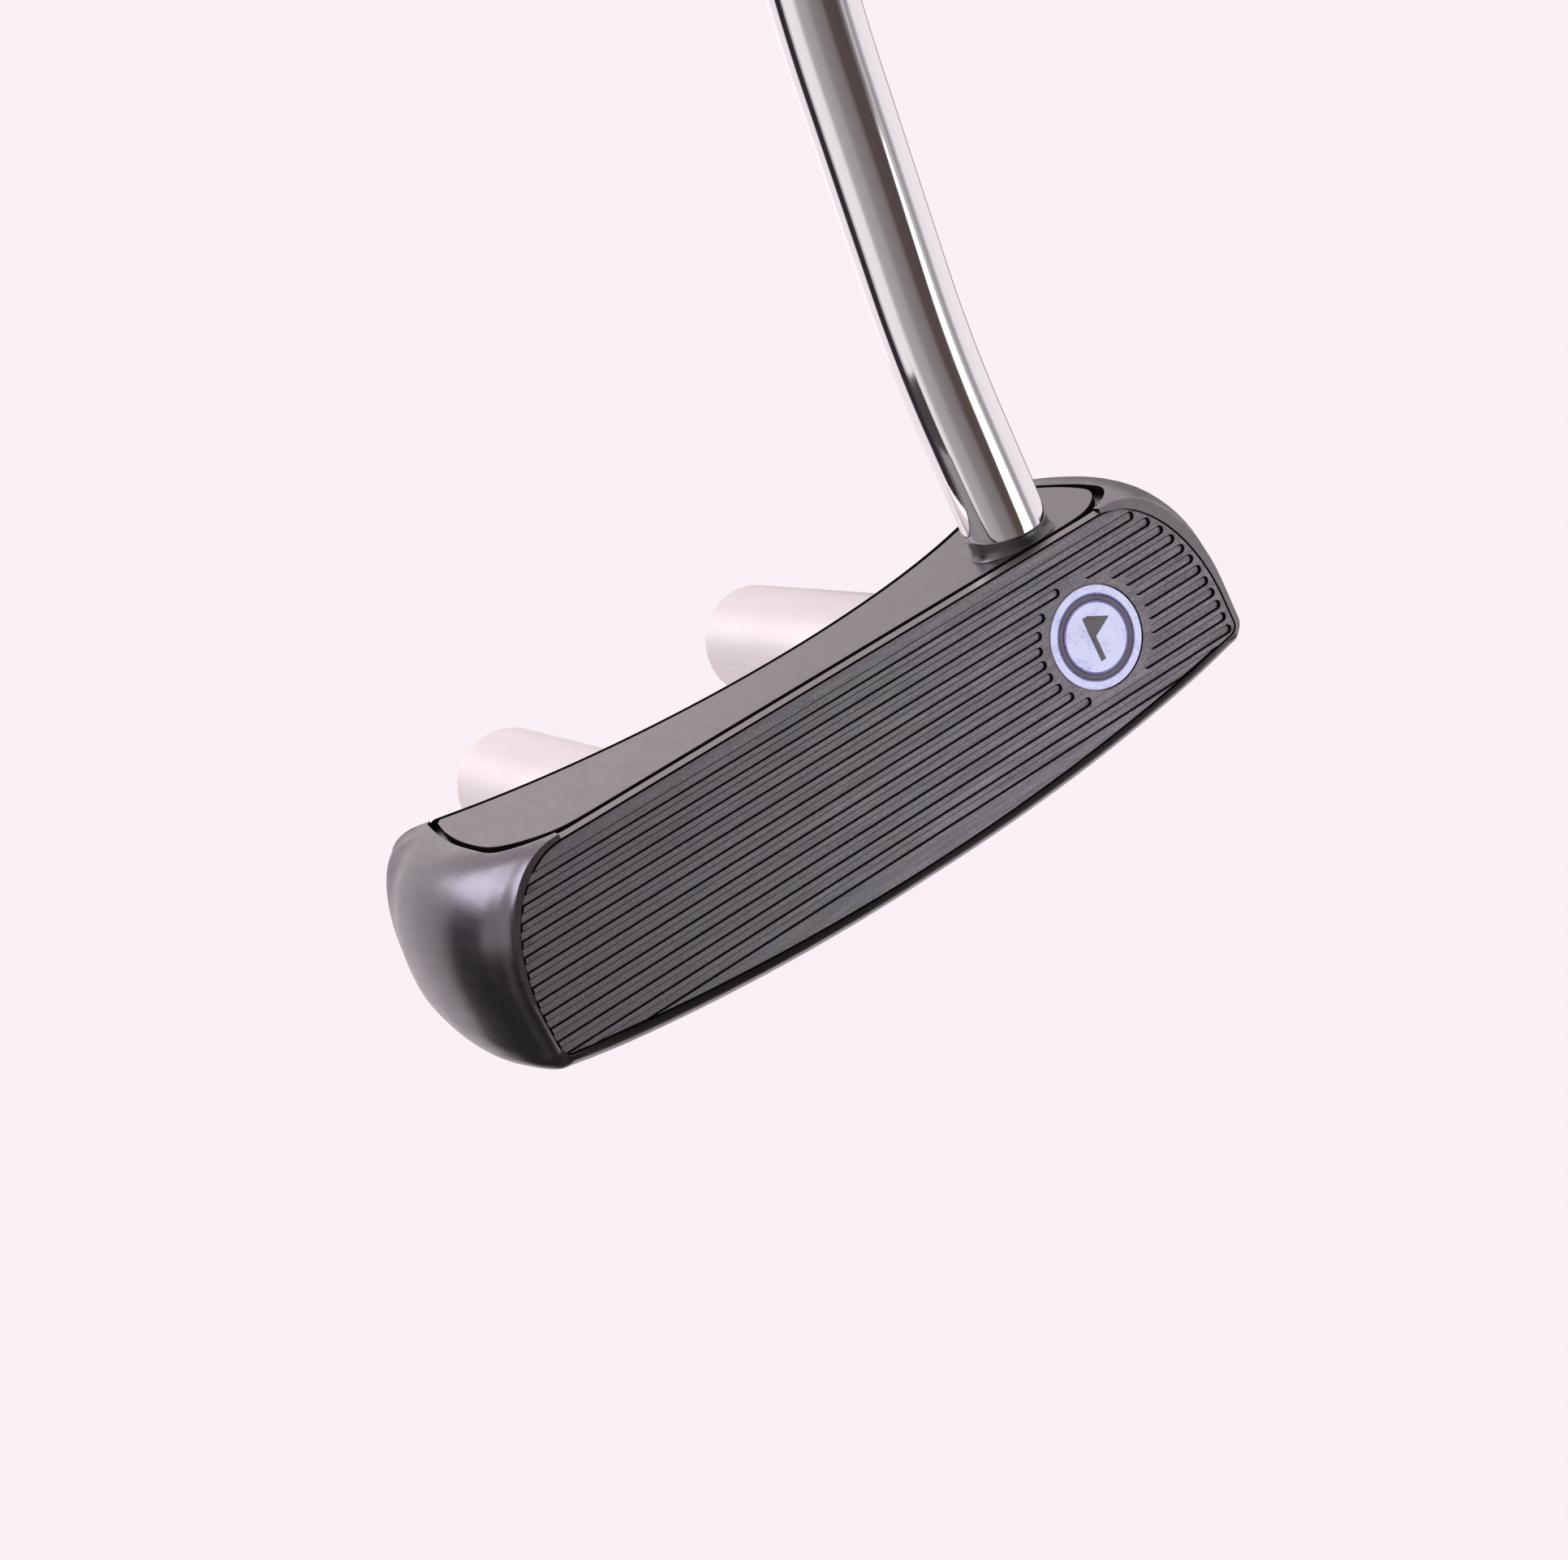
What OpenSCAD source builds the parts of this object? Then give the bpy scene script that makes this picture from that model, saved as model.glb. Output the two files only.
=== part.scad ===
// Mid-size mallet putter: a crescent head with two round bars behind it.
// Frame: +Z up, -Y towards the target, +X towards the heel, sole flat centred on the origin.

/* [Head] */
// Height of the crown above the sole
crown_h = 26; // [25.5:0.1:26.5]
// Greatest reach of the toe and of the heel from the middle of the head
head_reach = 50.3; // [50:0.1:51]
// Radius of the toe and heel ends in plan
end_r = 47.4; // [46:0.1:49]
// Y of the centre of the toe and heel ends
end_y = 10; // [9:0.1:11]
// Radius of the hollow rear wall in plan
rear_r = 57; // [56:0.1:58]
// Y of the crescent's rear wall at the middle of the head
rear_y = 6.7; // [6:0.1:7]
// Radius of the rounded wing tips
tip_r = 4.5; // [4:0.1:5]
// Radius of the shoulders between crown and ends
shoulder_r = 8; // [7:0.1:9]
// Radius of the corners between sole and ends
lower_r = 9; // [8.5:0.1:9.5]
// Width of the flat at the middle of the sole
sole_flat = 12; // [8:0.5:16]
// Radius of the sole's curve towards toe and heel
sole_r = 171; // [150:1:200]

/* [Face] */
// Loft of the face in degrees
loft = 3; // [2:0.1:4]
// Height of the first groove above the sole
face_ref_z = 23; // [22.9:0.01:23.1]
// Y of the face at the first groove
face_y = -9; // [-9.2:0.05:-8.8]
// Reach of the insert towards the toe
insert_toe = 44.8; // [44:0.1:45]
// Reach of the insert towards the heel
insert_heel = 44.2; // [44:0.1:45]
// Top edge of the insert above the first groove
insert_top = 2.55; // [2.4:0.01:2.65]
// Thickness of the insert
insert_t = 2.2; // [1.8:0.1:2.2]
// Spacing of the milled grooves
groove_pitch = 1.524; // [1.45:0.001:1.6]
// Width of one groove
groove_w = 0.99; // [0.8:0.01:1.1]
// Depth of the grooves
groove_d = 0.3; // [0.2:0.05:0.5]
// Number of grooves
grooves = 13; // [8:1:13]
// Radius of the round badge
badge_r = 5.77; // [5:0.01:6]
// Distance of the badge from the middle of the head
badge_x = 28.1; // [27:0.1:29]
// Height of the badge below the first groove
badge_drop = 9.1; // [8.5:0.1:9.5]

/* [Crown plate] */
// Thickness of the plate let into the crown
plate_t = 1; // [0.8:0.1:1.1]
// Reach of the plate towards toe and heel
plate_reach = 39.9; // [39:0.1:40.5]
// Open groove between the plate's ends and the body
plate_end_gap = 1; // [0.8:0.1:1.1]
// Hairline gap along the plate's front and rear edges
plate_edge_gap = 0.25; // [0.2:0.05:0.3]

/* [Bars] */
// Diameter of the two bars
bar_d = 14.5; // [14:0.1:15]
// Distance between the bars' axes
bar_spacing = 38.5; // [38:0.1:39]
// Height of the bars' axes above the sole
bar_z = 14.46; // [14:0.02:15]
// Y of the bars' rear ends
bar_rear_y = 62.9; // [60:0.1:65]

/* [Shaft] */
// X of the hosel post
post_x = 26.9; // [26.5:0.1:27.2]
// Y of the hosel post
post_y = -2.6; // [-2.8:0.1:-2.4]
// Height of the shaft's cut end above the crown
shaft_gap = 2.3; // [1.8:0.1:3]
// Outside diameter of the shaft's tip
shaft_d = 9.4; // [9.3:0.05:9.5]
// Outside diameter of the shaft under the grip
butt_d = 14.7; // [14.5:0.1:15.3]
// Wall thickness of the shaft
shaft_wall = 0.5; // [0.4:0.05:0.6]
// Radius of both bends, to the middle of the tube
bend_r = 174; // [150:1:200]
// Lean that the first bend gives, in degrees
first_lean = 5.4; // [4:0.1:7]
// Plan heading of the first bend, turned from the heel towards the back
first_heading = -11; // [-20:1:0]
// Angle between the finished shaft and the ground
lie = 71; // [70:0.5:73]
// Length of the club along the shaft, from the ground to the cap
club_length = 864; // [840:1:890]

/* [Grip] */
// Length of the grip
grip_len = 266; // [250:1:280]
// Width of the grip at the cap
grip_w = 27; // [25:0.5:30]
// Diameter of the grip's lower end
grip_tip_d = 20; // [19:0.5:21]

/* [Hidden] */
$fn = 96;

over = 1;              // how far a cutter runs past the surface it cuts
slip = 0.02;           // gap on each side of a bonded or pressed joint
film_t = 0.1;          // thickness of the adhesive films
pocket_gap = 0.1;      // gap round the insert in its pocket

end_x = head_reach - end_r;
rear_cy = rear_y + rear_r;
bar_r = bar_d / 2;
bar_x = bar_spacing / 2;
plate_top_gap = plate_t + film_t;

// Points of an arc in steps of about five degrees
function arc(cx, cy, r, from, to) =
    let (steps = max(2, ceil(abs(to - from) / 5)))
    [for (i = [0:steps]) let (a = from + (to - from) * i / steps) [cx + r * cos(a), cy + r * sin(a)]];
function mirrored(points) = [for (i = [len(points) - 1:-1:0]) [-points[i][0], points[i][1]]];

// ---- Head body ----

// The wing tip touches the end circle from inside and the rear circle from outside
tip_in = end_r - tip_r;
tip_out = rear_r + tip_r;
tip_span = sqrt(end_x * end_x + pow(rear_cy - end_y, 2));
tip_turn = atan2(end_x, rear_cy - end_y);
tip_bend = acos((tip_in * tip_in + tip_span * tip_span - tip_out * tip_out) / (2 * tip_in * tip_span));
tip_a = 90 + tip_turn - tip_bend;
tip_x = end_x + tip_in * cos(tip_a);
tip_y = end_y + tip_in * sin(tip_a);
tip_rear_a = atan2(rear_cy - tip_y, -tip_x);

body_front_y = face_y - 3;
body_front_a = asin((body_front_y - end_y) / end_r);

module body_plan() {
    heel_half = concat(
        arc(end_x, end_y, end_r, body_front_a, tip_a),
        arc(tip_x, tip_y, tip_r, tip_a, tip_rear_a),
        arc(0, rear_cy, rear_r, tip_rear_a - 180, -90));
    polygon(concat(heel_half, mirrored(heel_half)));
}

// Front view: crown, shoulders, ends, corners and the curved sole with its flat
sole_end_x = head_reach - lower_r;
sole_a = asin((sole_end_x - sole_flat / 2) / sole_r);
sole_end_z = sole_r * (1 - cos(sole_a));
module body_front() {
    heel_half = concat(
        arc(sole_flat / 2, sole_r, sole_r, -90, -90 + sole_a),
        arc(sole_end_x, sole_end_z + lower_r, lower_r, -85, 0),
        arc(head_reach - shoulder_r, crown_h - shoulder_r, shoulder_r, 0, 90));
    polygon(concat(heel_half, mirrored(heel_half)));
}

// Side view: lofted face, rolled leading edge and a sole that rises behind
leading_roll = 2.1;
trailing_y = 8;
trailing_rise = 3;
function face_line_y(z) = face_y + (z - face_ref_z) * tan(loft);
module body_side() {
    polygon([
        [face_line_y(crown_h), crown_h],
        [face_line_y(leading_roll), leading_roll],
        [face_line_y(0) + leading_roll * 0.35, leading_roll * 0.35],
        [face_line_y(0) + leading_roll * 1.2, 0],
        [trailing_y, 0],
        [trailing_y + 10, trailing_rise * 0.5],
        [trailing_y + 22, trailing_rise * 1.5],
        [trailing_y + 22, crown_h]]);
}

module body_blank() {
    intersection() {
        linear_extrude(crown_h) body_plan();
        translate([0, tip_y + 10, 0]) rotate([90, 0, 0]) linear_extrude(60) body_front();
        translate([-60, 0, 0]) rotate([90, 0, 90]) linear_extrude(120) body_side();
    }
}

module head_body() {
    color([0.14, 0.14, 0.15])
    difference() {
        body_blank();
        translate([0, 0, crown_h - plate_top_gap]) linear_extrude(plate_top_gap + over)
            plate_outline(plate_end_gap, 0);
        on_face() insert_solid(insert_t + film_t, pocket_gap);
        for (side = [-1, 1]) bar_pockets(side);
        post_pockets();
    }
}

// ---- Crown plate ----

plate_corner_r = 9.4;
plate_front_y = face_y + 1.2;
plate_rear_r = rear_r + 0.5 + plate_edge_gap;
// Outline of the plate: grow widens its ends, and inset draws its long edges in
module plate_outline(grow, inset) {
    reach = plate_reach + grow;
    front_y = plate_front_y - plate_edge_gap + inset;
    r = plate_rear_r - plate_edge_gap + inset;
    corner_cy = front_y + plate_corner_r;
    heel_half = concat(
        arc(reach - plate_corner_r, corner_cy, plate_corner_r, -60, 0),
        arc(0, rear_cy, r, -acos(-(-reach + 0.8) / r), -90));
    polygon(concat([[reach - plate_corner_r * 0.52, front_y]], heel_half, mirrored(heel_half),
        [[-reach + plate_corner_r * 0.52, front_y]]));
}

module crown_plate() {
    color([0.55, 0.52, 0.54])
    difference() {
        translate([0, 0, crown_h - plate_t]) linear_extrude(plate_t) plate_outline(0, plate_edge_gap);
        at_post() cylinder(h = 4 * plate_t, r = stud_r + 0.1, center = true);
    }
}

module crown_bond() {
    color([0.85, 0.85, 0.8])
    difference() {
        translate([0, 0, crown_h - plate_t - film_t]) linear_extrude(film_t)
            plate_outline(-0.5, plate_edge_gap + 0.5);
        at_post() cylinder(h = 4 * plate_t, r = stud_r + 0.5, center = true);
    }
}

// ---- Face insert ----

// Local frame of the face: X along the grooves, Z up the face, Y into the head
module on_face() {
    translate([0, face_y, face_ref_z]) rotate([-loft, 0, 0]) children();
}
module face_slab(from, to) {
    translate([0, to, 0]) rotate([90, 0, 0]) linear_extrude(to - from) children();
}

insert_end_w = 10;                     // how far each rounded end runs along the face
insert_end_z = -13;                    // height of the ends' widest point
insert_end_h = insert_top - insert_end_z;
insert_low_x = 0;                      // lowest point of the bottom edge
insert_low_z = -20.6;
insert_low_r = 263;
function insert_bottom(x) = insert_low_z + insert_low_r - sqrt(pow(insert_low_r, 2) - pow(x - insert_low_x, 2));
// Reach of the rounded end at height z, for an end whose full reach is given
function insert_reach(reach, z) =
    z < insert_end_z ? reach
    : reach - insert_end_w * (1 - sqrt(1 - pow((z - insert_end_z) / insert_end_h, 2)));

module insert_outline(grow) {
    end_arc = [for (a = [90:-6:0])
        [insert_end_w * sin(90 - a) + grow * cos(a), insert_end_z + insert_end_h * sin(a) + grow * sin(a)]];
    heel = [for (p = end_arc) [insert_heel - insert_end_w + p[0], p[1]]];
    toe = [for (i = [len(end_arc) - 1:-1:0]) [-(insert_toe - insert_end_w + end_arc[i][0]), end_arc[i][1]]];
    heel_x = insert_heel + grow;
    toe_x = -insert_toe - grow;
    bottom = [for (i = [0:16]) let (x = heel_x + (toe_x - heel_x) * i / 16) [x, insert_bottom(x) - grow]];
    polygon(concat(heel, bottom, toe));
}

// Grooves stop short of the heel edge and of the badge, and run out at the toe
groove_land = 0.9;
badge_land = badge_r + 1;
function groove_z(k) = -groove_pitch * k + groove_w / 2;
function badge_half(z) =
    let (dz = abs(z + badge_drop)) dz < badge_land ? sqrt(badge_land * badge_land - dz * dz) : 0;

module groove_bar(x0, x1, z) {
    translate([x0, z - groove_w / 2]) square([x1 - x0, groove_w]);
    translate([x0, z]) circle(d = groove_w, $fn = 24);
    translate([x1, z]) circle(d = groove_w, $fn = 24);
}

module groove_row(k) {
    z = groove_z(k);
    toe_x = -insert_reach(insert_toe, z) - over;
    heel_x = insert_reach(insert_heel, z) - groove_land - groove_w / 2;
    half = badge_half(z);
    if (half == 0)
        groove_bar(toe_x, heel_x, z);
    else {
        groove_bar(toe_x, badge_x - half - groove_w / 2, z);
        groove_bar(badge_x + half + groove_w / 2, heel_x, z);
    }
}

// The insert is thin along its top edge, where the plate lies close behind it
rebate_t = 0.5;
rebate_z = 1;
module insert_solid(depth, grow) {
    face_slab(-grow * over, rebate_t + grow / 2) insert_outline(grow);
    face_slab(-grow * over, depth) intersection() {
        insert_outline(grow);
        translate([-head_reach, rebate_z + grow - head_reach]) square([2 * head_reach, head_reach]);
    }
}

module face_insert() {
    color([0.36, 0.35, 0.38])
    on_face()
    difference() {
        insert_solid(insert_t, 0);
        face_slab(-over, groove_d) for (k = [0:grooves - 1]) groove_row(k);
        face_slab(-over, groove_d) badge_outline(slip);
    }
}

module insert_bond() {
    color([0.85, 0.85, 0.8])
    on_face() face_slab(insert_t, insert_t + film_t)
    difference() {
        intersection() {
            insert_outline(-0.8);
            translate([-head_reach, rebate_z - 0.5 - head_reach]) square([2 * head_reach, head_reach]);
        }
        for (side = [-1, 1]) translate([side * bar_x, bar_z - face_ref_z]) circle(r = screw_head_r + 0.8);
    }
}

// ---- Badge: enamel ring and disc with a plain flag left standing in the metal ----

ring_inner = 0.83 * badge_r;
disc_r = 0.68 * badge_r;
flag_h = 0.9 * badge_r;
flag_w = 0.12 * badge_r;
module flag_mark(grow) {
    translate([-flag_w - grow, -flag_h / 2 - grow]) square([flag_w + 2 * grow, flag_h + 2 * grow]);
    polygon([[-grow, flag_h * 0.5 + grow], [flag_h * 0.48 + grow, flag_h * 0.26], [-grow, flag_h * 0.02 - grow]]);
}

// grow widens the enamel: the pocket it lies in is a slip wider
module badge_outline(grow) {
    translate([badge_x, -badge_drop]) {
        difference() {
            circle(r = badge_r + grow);
            circle(r = ring_inner - grow);
        }
        difference() {
            circle(r = disc_r + grow);
            flag_mark(-grow);
        }
    }
}

module badge_enamel() {
    color([0.7, 0.78, 0.95])
    on_face() face_slab(0.03, groove_d) badge_outline(0);
}

// ---- Bars, their screws and their weights ----

bar_front_y = 3;
screw_r = 2;
screw_head_r = 3.4;
screw_head_h = 3.6;
screw_front_y = -6.4;
screw_len = 18;
socket_hex_r = 1.7;
socket_d = 2;

thread_r = 4.95;
thread_bore_r = 5;
thread_len = 12;
mouth_r = 6.15;
mouth_d = 4.2;
weight_head_r = 6.05;
weight_head_h = 2.3;
weight_sink = 0.3;
neck_r = 4.8;
neck_len = 1.4;
ring_cs = 0.55;
weight_key_r = 2.9;

module along_y(x, y, z) {
    translate([x, y, z]) rotate([-90, 0, 0]) children();
}

module bar_pockets(side) {
    along_y(side * bar_x, bar_front_y, bar_z) cylinder(h = 60, r = bar_r + slip);
    along_y(side * bar_x, body_front_y, bar_z) cylinder(h = 20, r = screw_r + 0.2);
    along_y(side * bar_x, body_front_y, bar_z)
        cylinder(h = screw_front_y + screw_head_h - body_front_y, r = screw_head_r + 0.2);
}

module bar(side) {
    bar_len = bar_rear_y - bar_front_y;
    edge = 0.6;
    color([0.78, 0.75, 0.73])
    along_y(side * bar_x, bar_front_y, bar_z)
    difference() {
        union() {
            cylinder(h = bar_len - edge, r = bar_r);
            translate([0, 0, bar_len - edge]) cylinder(h = edge, r1 = bar_r, r2 = bar_r - edge);
        }
        translate([0, 0, bar_len - mouth_d]) cylinder(h = mouth_d + over, r = mouth_r);
        translate([0, 0, bar_len - mouth_d - thread_len - 1]) cylinder(h = thread_len + 2, r = thread_bore_r);
        translate([0, 0, -over]) cylinder(h = screw_len - 6, r = screw_r + slip);
    }
}

module bar_screw(side) {
    color([0.25, 0.25, 0.27])
    along_y(side * bar_x, screw_front_y, bar_z)
    difference() {
        union() {
            cylinder(h = screw_head_h, r = screw_head_r);
            cylinder(h = screw_len, r = screw_r);
        }
        translate([0, 0, -over]) cylinder(h = socket_d + over, r = socket_hex_r, $fn = 6);
    }
}

// Weight plug: head with a hexagon socket, seal neck and threaded shank
module weight(side) {
    shank_y = bar_rear_y - weight_sink - weight_head_h - neck_len - thread_len;
    color([0.6, 0.6, 0.62])
    along_y(side * bar_x, shank_y, bar_z)
    difference() {
        union() {
            cylinder(h = thread_len, r = thread_r);
            cylinder(h = thread_len + neck_len + over, r = neck_r);
            translate([0, 0, thread_len + neck_len]) cylinder(h = weight_head_h, r = weight_head_r);
        }
        translate([0, 0, thread_len + neck_len - 3.5]) cylinder(h = 10, r = weight_key_r, $fn = 6);
    }
}

module weight_ring(side) {
    ring_y = bar_rear_y - weight_sink - weight_head_h - neck_len / 2;
    color([0.08, 0.08, 0.08])
    along_y(side * bar_x, ring_y, bar_z)
    rotate_extrude() translate([neck_r + 0.05 + ring_cs, 0]) circle(r = ring_cs, $fn = 32);
}

// ---- Hosel post and its screw ----

stud_r = 3.4;
stud_bottom_z = 9;
collar_r = 4.55;
foot_r = 0.8;
spigot_r = 4.1;
spigot_top_z = 14;
sole_screw_head_z = 2.6;

module at_post() {
    translate([post_x, post_y, crown_h]) children();
}

module post_pockets() {
    translate([post_x, post_y, stud_bottom_z]) cylinder(h = crown_h, r = stud_r + slip);
    translate([post_x, post_y, -over]) cylinder(h = crown_h / 2, r = screw_r + 0.2);
    translate([post_x, post_y, -over])
        cylinder(h = sole_screw_head_z + screw_head_h + over, r = screw_head_r + 0.2);
}

// Profile above the crown: flared foot, collar under the shaft, spigot inside it
module post_profile() {
    polygon(concat(
        [[0, 0], [collar_r + foot_r, 0]],
        [for (a = [270:-15:180]) [collar_r + foot_r + foot_r * cos(a), foot_r + 0.05 + foot_r * sin(a)]],
        [[collar_r, shaft_gap - slip], [spigot_r, shaft_gap - slip], [spigot_r, spigot_top_z - 1],
         [spigot_r - 1, spigot_top_z], [0, spigot_top_z]]));
}

module hosel_post() {
    color([0.2, 0.2, 0.21])
    difference() {
        union() {
            at_post() rotate_extrude() post_profile();
            translate([post_x, post_y, stud_bottom_z]) cylinder(h = crown_h - stud_bottom_z + 0.5, r = stud_r);
        }
        translate([post_x, post_y, stud_bottom_z - over]) cylinder(h = 11, r = screw_r + slip);
    }
}

module hosel_screw() {
    color([0.25, 0.25, 0.27])
    translate([post_x, post_y, sole_screw_head_z])
    difference() {
        union() {
            cylinder(h = screw_head_h, r = screw_head_r);
            cylinder(h = 14, r = screw_r);
        }
        translate([0, 0, -over]) cylinder(h = socket_d + over, r = socket_hex_r, $fn = 6);
    }
}

// ---- Shaft ----

tip_straight = 12.1;                       // from the cut end to the first bend
mid_straight = 21.5;                       // between the bends
step_start = 150;                          // plain length above the second bend
step_len = 27;
steps = 14;
lean_dir = [cos(lie), 0, sin(lie)];
// Direction of the finished shaft, seen from the tube after its first bend
turned = [cos(first_heading) * lean_dir[0], -sin(first_heading) * lean_dir[0], lean_dir[2]];
local_dir = [cos(first_lean) * turned[0] - sin(first_lean) * turned[2], turned[1],
    sin(first_lean) * turned[0] + cos(first_lean) * turned[2]];
second_lean = acos(local_dir[2]);
second_heading = atan2(local_dir[1], local_dir[0]);

// Offset of a point that the tube reaches after a bend, in the frame before the bend
function bend_end(lean) = [bend_r * (1 - cos(lean)), 0, bend_r * sin(lean)];
function turn_z(p, a) = [cos(a) * p[0] - sin(a) * p[1], sin(a) * p[0] + cos(a) * p[1], p[2]];
function turn_y(p, a) = [cos(a) * p[0] + sin(a) * p[2], p[1], -sin(a) * p[0] + cos(a) * p[2]];
first_run = bend_end(first_lean) + turn_y([0, 0, mid_straight] + turn_z(bend_end(second_lean), second_heading), first_lean);
upper_start = [post_x, post_y, crown_h + shaft_gap + tip_straight] + turn_z(first_run, first_heading);
// Length of the straight upper shaft, so that the cap's top is club_length from the ground
cap_t = 3;
upper_len = club_length - cap_t - upper_start[2] / sin(lie);

module after_bend(lean) {
    translate(bend_end(lean)) rotate([0, lean, 0]) children();
}
// Straight and bent lengths overlap by a lap, where the bent wall lies just inside the straight one
lap = 0.05;
lap_r = 0.01;
module ring_profile(out_r, wall) {
    difference() {
        circle(r = out_r, $fn = 64);
        circle(r = out_r - wall, $fn = 64);
    }
}
module tube(h) {
    translate([0, 0, -lap]) linear_extrude(h + 2 * lap) ring_profile(shaft_d / 2, shaft_wall);
}
module bend(lean) {
    translate([bend_r, 0, 0]) rotate([90, 0, 180]) rotate_extrude(angle = lean)
        translate([bend_r, 0]) ring_profile(shaft_d / 2 - lap_r, shaft_wall - 2 * lap_r);
}
module at_upper() {
    translate(upper_start) rotate([0, 90 - lie, 0]) children();
}

// Upper shaft: a plain length, then steps that widen it to the butt
step_r = (butt_d - shaft_d) / 2 / steps;
function step_z(i) = i == 0 ? -lap : i > steps ? upper_len : step_start + (i - 1) * step_len;
module stepped_tube() {
    outside = [for (i = [0:steps]) for (z = [step_z(i), step_z(i + 1)]) [shaft_d / 2 + i * step_r, z]];
    inside = [for (i = [len(outside) - 1:-1:0]) outside[i] - [shaft_wall, 0]];
    rotate_extrude() polygon(concat(outside, inside));
}

module shaft() {
    color([0.85, 0.85, 0.87]) {
        translate([post_x, post_y, crown_h + shaft_gap]) linear_extrude(tip_straight + lap)
            ring_profile(shaft_d / 2, shaft_wall);
        translate([post_x, post_y, crown_h + shaft_gap + tip_straight]) rotate([0, 0, first_heading]) {
            bend(first_lean);
            after_bend(first_lean) {
                tube(mid_straight);
                translate([0, 0, mid_straight]) rotate([0, 0, second_heading]) bend(second_lean);
            }
        }
        at_upper() stepped_tube();
    }
}

module shaft_bond() {
    color([0.8, 0.75, 0.5])
    translate([post_x, post_y, crown_h + shaft_gap + 0.5])
    difference() {
        cylinder(h = spigot_top_z - shaft_gap - 2, r = shaft_d / 2 - shaft_wall - 0.01);
        translate([0, 0, -over]) cylinder(h = spigot_top_z + over, r = spigot_r + 0.01);
    }
}

// ---- Grip ----

tape_t = 0.15;
tape_r = butt_d / 2 + slip + tape_t;
grip_start = upper_len - grip_len;

module grip_tape() {
    color([0.9, 0.88, 0.8])
    at_upper() translate([0, 0, grip_start + 5])
    difference() {
        cylinder(h = grip_len - 6, r = tape_r);
        translate([0, 0, -over]) cylinder(h = grip_len, r = butt_d / 2 + slip);
    }
}

// Section of the grip: a flat for the thumbs on the side that faces up, and a round back
module grip_section(w, z) {
    translate([0, 0, z]) linear_extrude(0.5)
    intersection() {
        translate([w * 0.06, 0]) circle(d = w, $fn = 32);
        translate([-w * 0.36, -w / 2]) square([w, w]);
    }
}

module grip() {
    color([0.1, 0.1, 0.1])
    at_upper() translate([0, 0, grip_start])
    difference() {
        union() {
            hull() {
                cylinder(h = 1, d = grip_tip_d, $fn = 32);
                grip_section(grip_w * 0.86, grip_len * 0.45);
            }
            hull() {
                grip_section(grip_w * 0.86, grip_len * 0.45);
                grip_section(grip_w, grip_len - 0.5);
            }
        }
        translate([0, 0, -over]) cylinder(h = grip_len + 2 * over, r = tape_r + slip);
    }
}

module grip_cap() {
    cap_r = grip_w * 0.4;
    plug_r = butt_d / 2 - shaft_wall - slip;
    color([0.15, 0.15, 0.16])
    at_upper() translate([0, 0, upper_len])
    difference() {
        union() {
            translate([0, 0, slip]) cylinder(h = cap_t - slip, r = cap_r);
            translate([0, 0, -10]) cylinder(h = 10 + over, r = plug_r);
        }
        translate([0, 0, -20]) cylinder(h = 40, r = 1);
    }
}

head_body();
crown_plate();
crown_bond();
hosel_post();
hosel_screw();
face_insert();
insert_bond();
badge_enamel();
bar(-1);  // toe_bar
bar(1);  // heel_bar
bar_screw(-1);  // toe_bar_screw
bar_screw(1);  // heel_bar_screw
weight(-1);  // toe_weight
weight(1);  // heel_weight
weight_ring(-1);  // toe_weight_ring
weight_ring(1);  // heel_weight_ring
shaft();
shaft_bond();
grip_tape();
grip();
grip_cap();
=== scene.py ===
"""A two-bar mallet putter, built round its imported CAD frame.

Lengths are in metres and angles in degrees, unless a comment says otherwise.
"""
from contextlib import contextmanager
from math import atan2, cos, degrees, radians, sin, sqrt, tau

import bmesh
import bpy
from mathutils import Matrix, Vector


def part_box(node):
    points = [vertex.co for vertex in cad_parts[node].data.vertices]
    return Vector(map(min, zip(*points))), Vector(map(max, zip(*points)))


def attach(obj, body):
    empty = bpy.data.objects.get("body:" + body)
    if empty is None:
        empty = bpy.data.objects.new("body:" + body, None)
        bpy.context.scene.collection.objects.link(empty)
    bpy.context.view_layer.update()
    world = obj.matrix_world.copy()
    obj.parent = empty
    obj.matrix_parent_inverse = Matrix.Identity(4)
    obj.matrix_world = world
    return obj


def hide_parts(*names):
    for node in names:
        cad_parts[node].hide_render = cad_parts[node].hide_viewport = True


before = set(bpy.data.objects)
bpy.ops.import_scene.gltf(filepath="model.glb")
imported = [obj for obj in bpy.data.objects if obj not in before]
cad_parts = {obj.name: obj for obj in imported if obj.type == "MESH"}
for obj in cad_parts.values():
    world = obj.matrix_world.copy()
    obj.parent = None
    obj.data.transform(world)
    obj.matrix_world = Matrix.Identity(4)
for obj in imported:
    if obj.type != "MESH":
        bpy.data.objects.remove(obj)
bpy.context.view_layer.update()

scene = bpy.context.scene
shift = Matrix.Translation
MM = 0.001

# ---- Places read from the frame ----

post_low, post_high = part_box("hosel_post")
bar_low, bar_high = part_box("heel_bar")

CROWN_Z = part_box("crown_plate")[1].z
SHAFT_START_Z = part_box("shaft")[0].z
POST = (post_low + post_high) / 2
SIDES = {"toe": -1, "heel": 1}
BAR_X = (bar_low.x + bar_high.x) / 2
BAR_Z = (bar_low.z + bar_high.z) / 2
BAR_R = (bar_high.z - bar_low.z) / 2
BAR_FRONT_Y = bar_low.y
BAR_REAR_Y = bar_high.y

# ---- Sizes that the frame's boxes don't give ----

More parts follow.
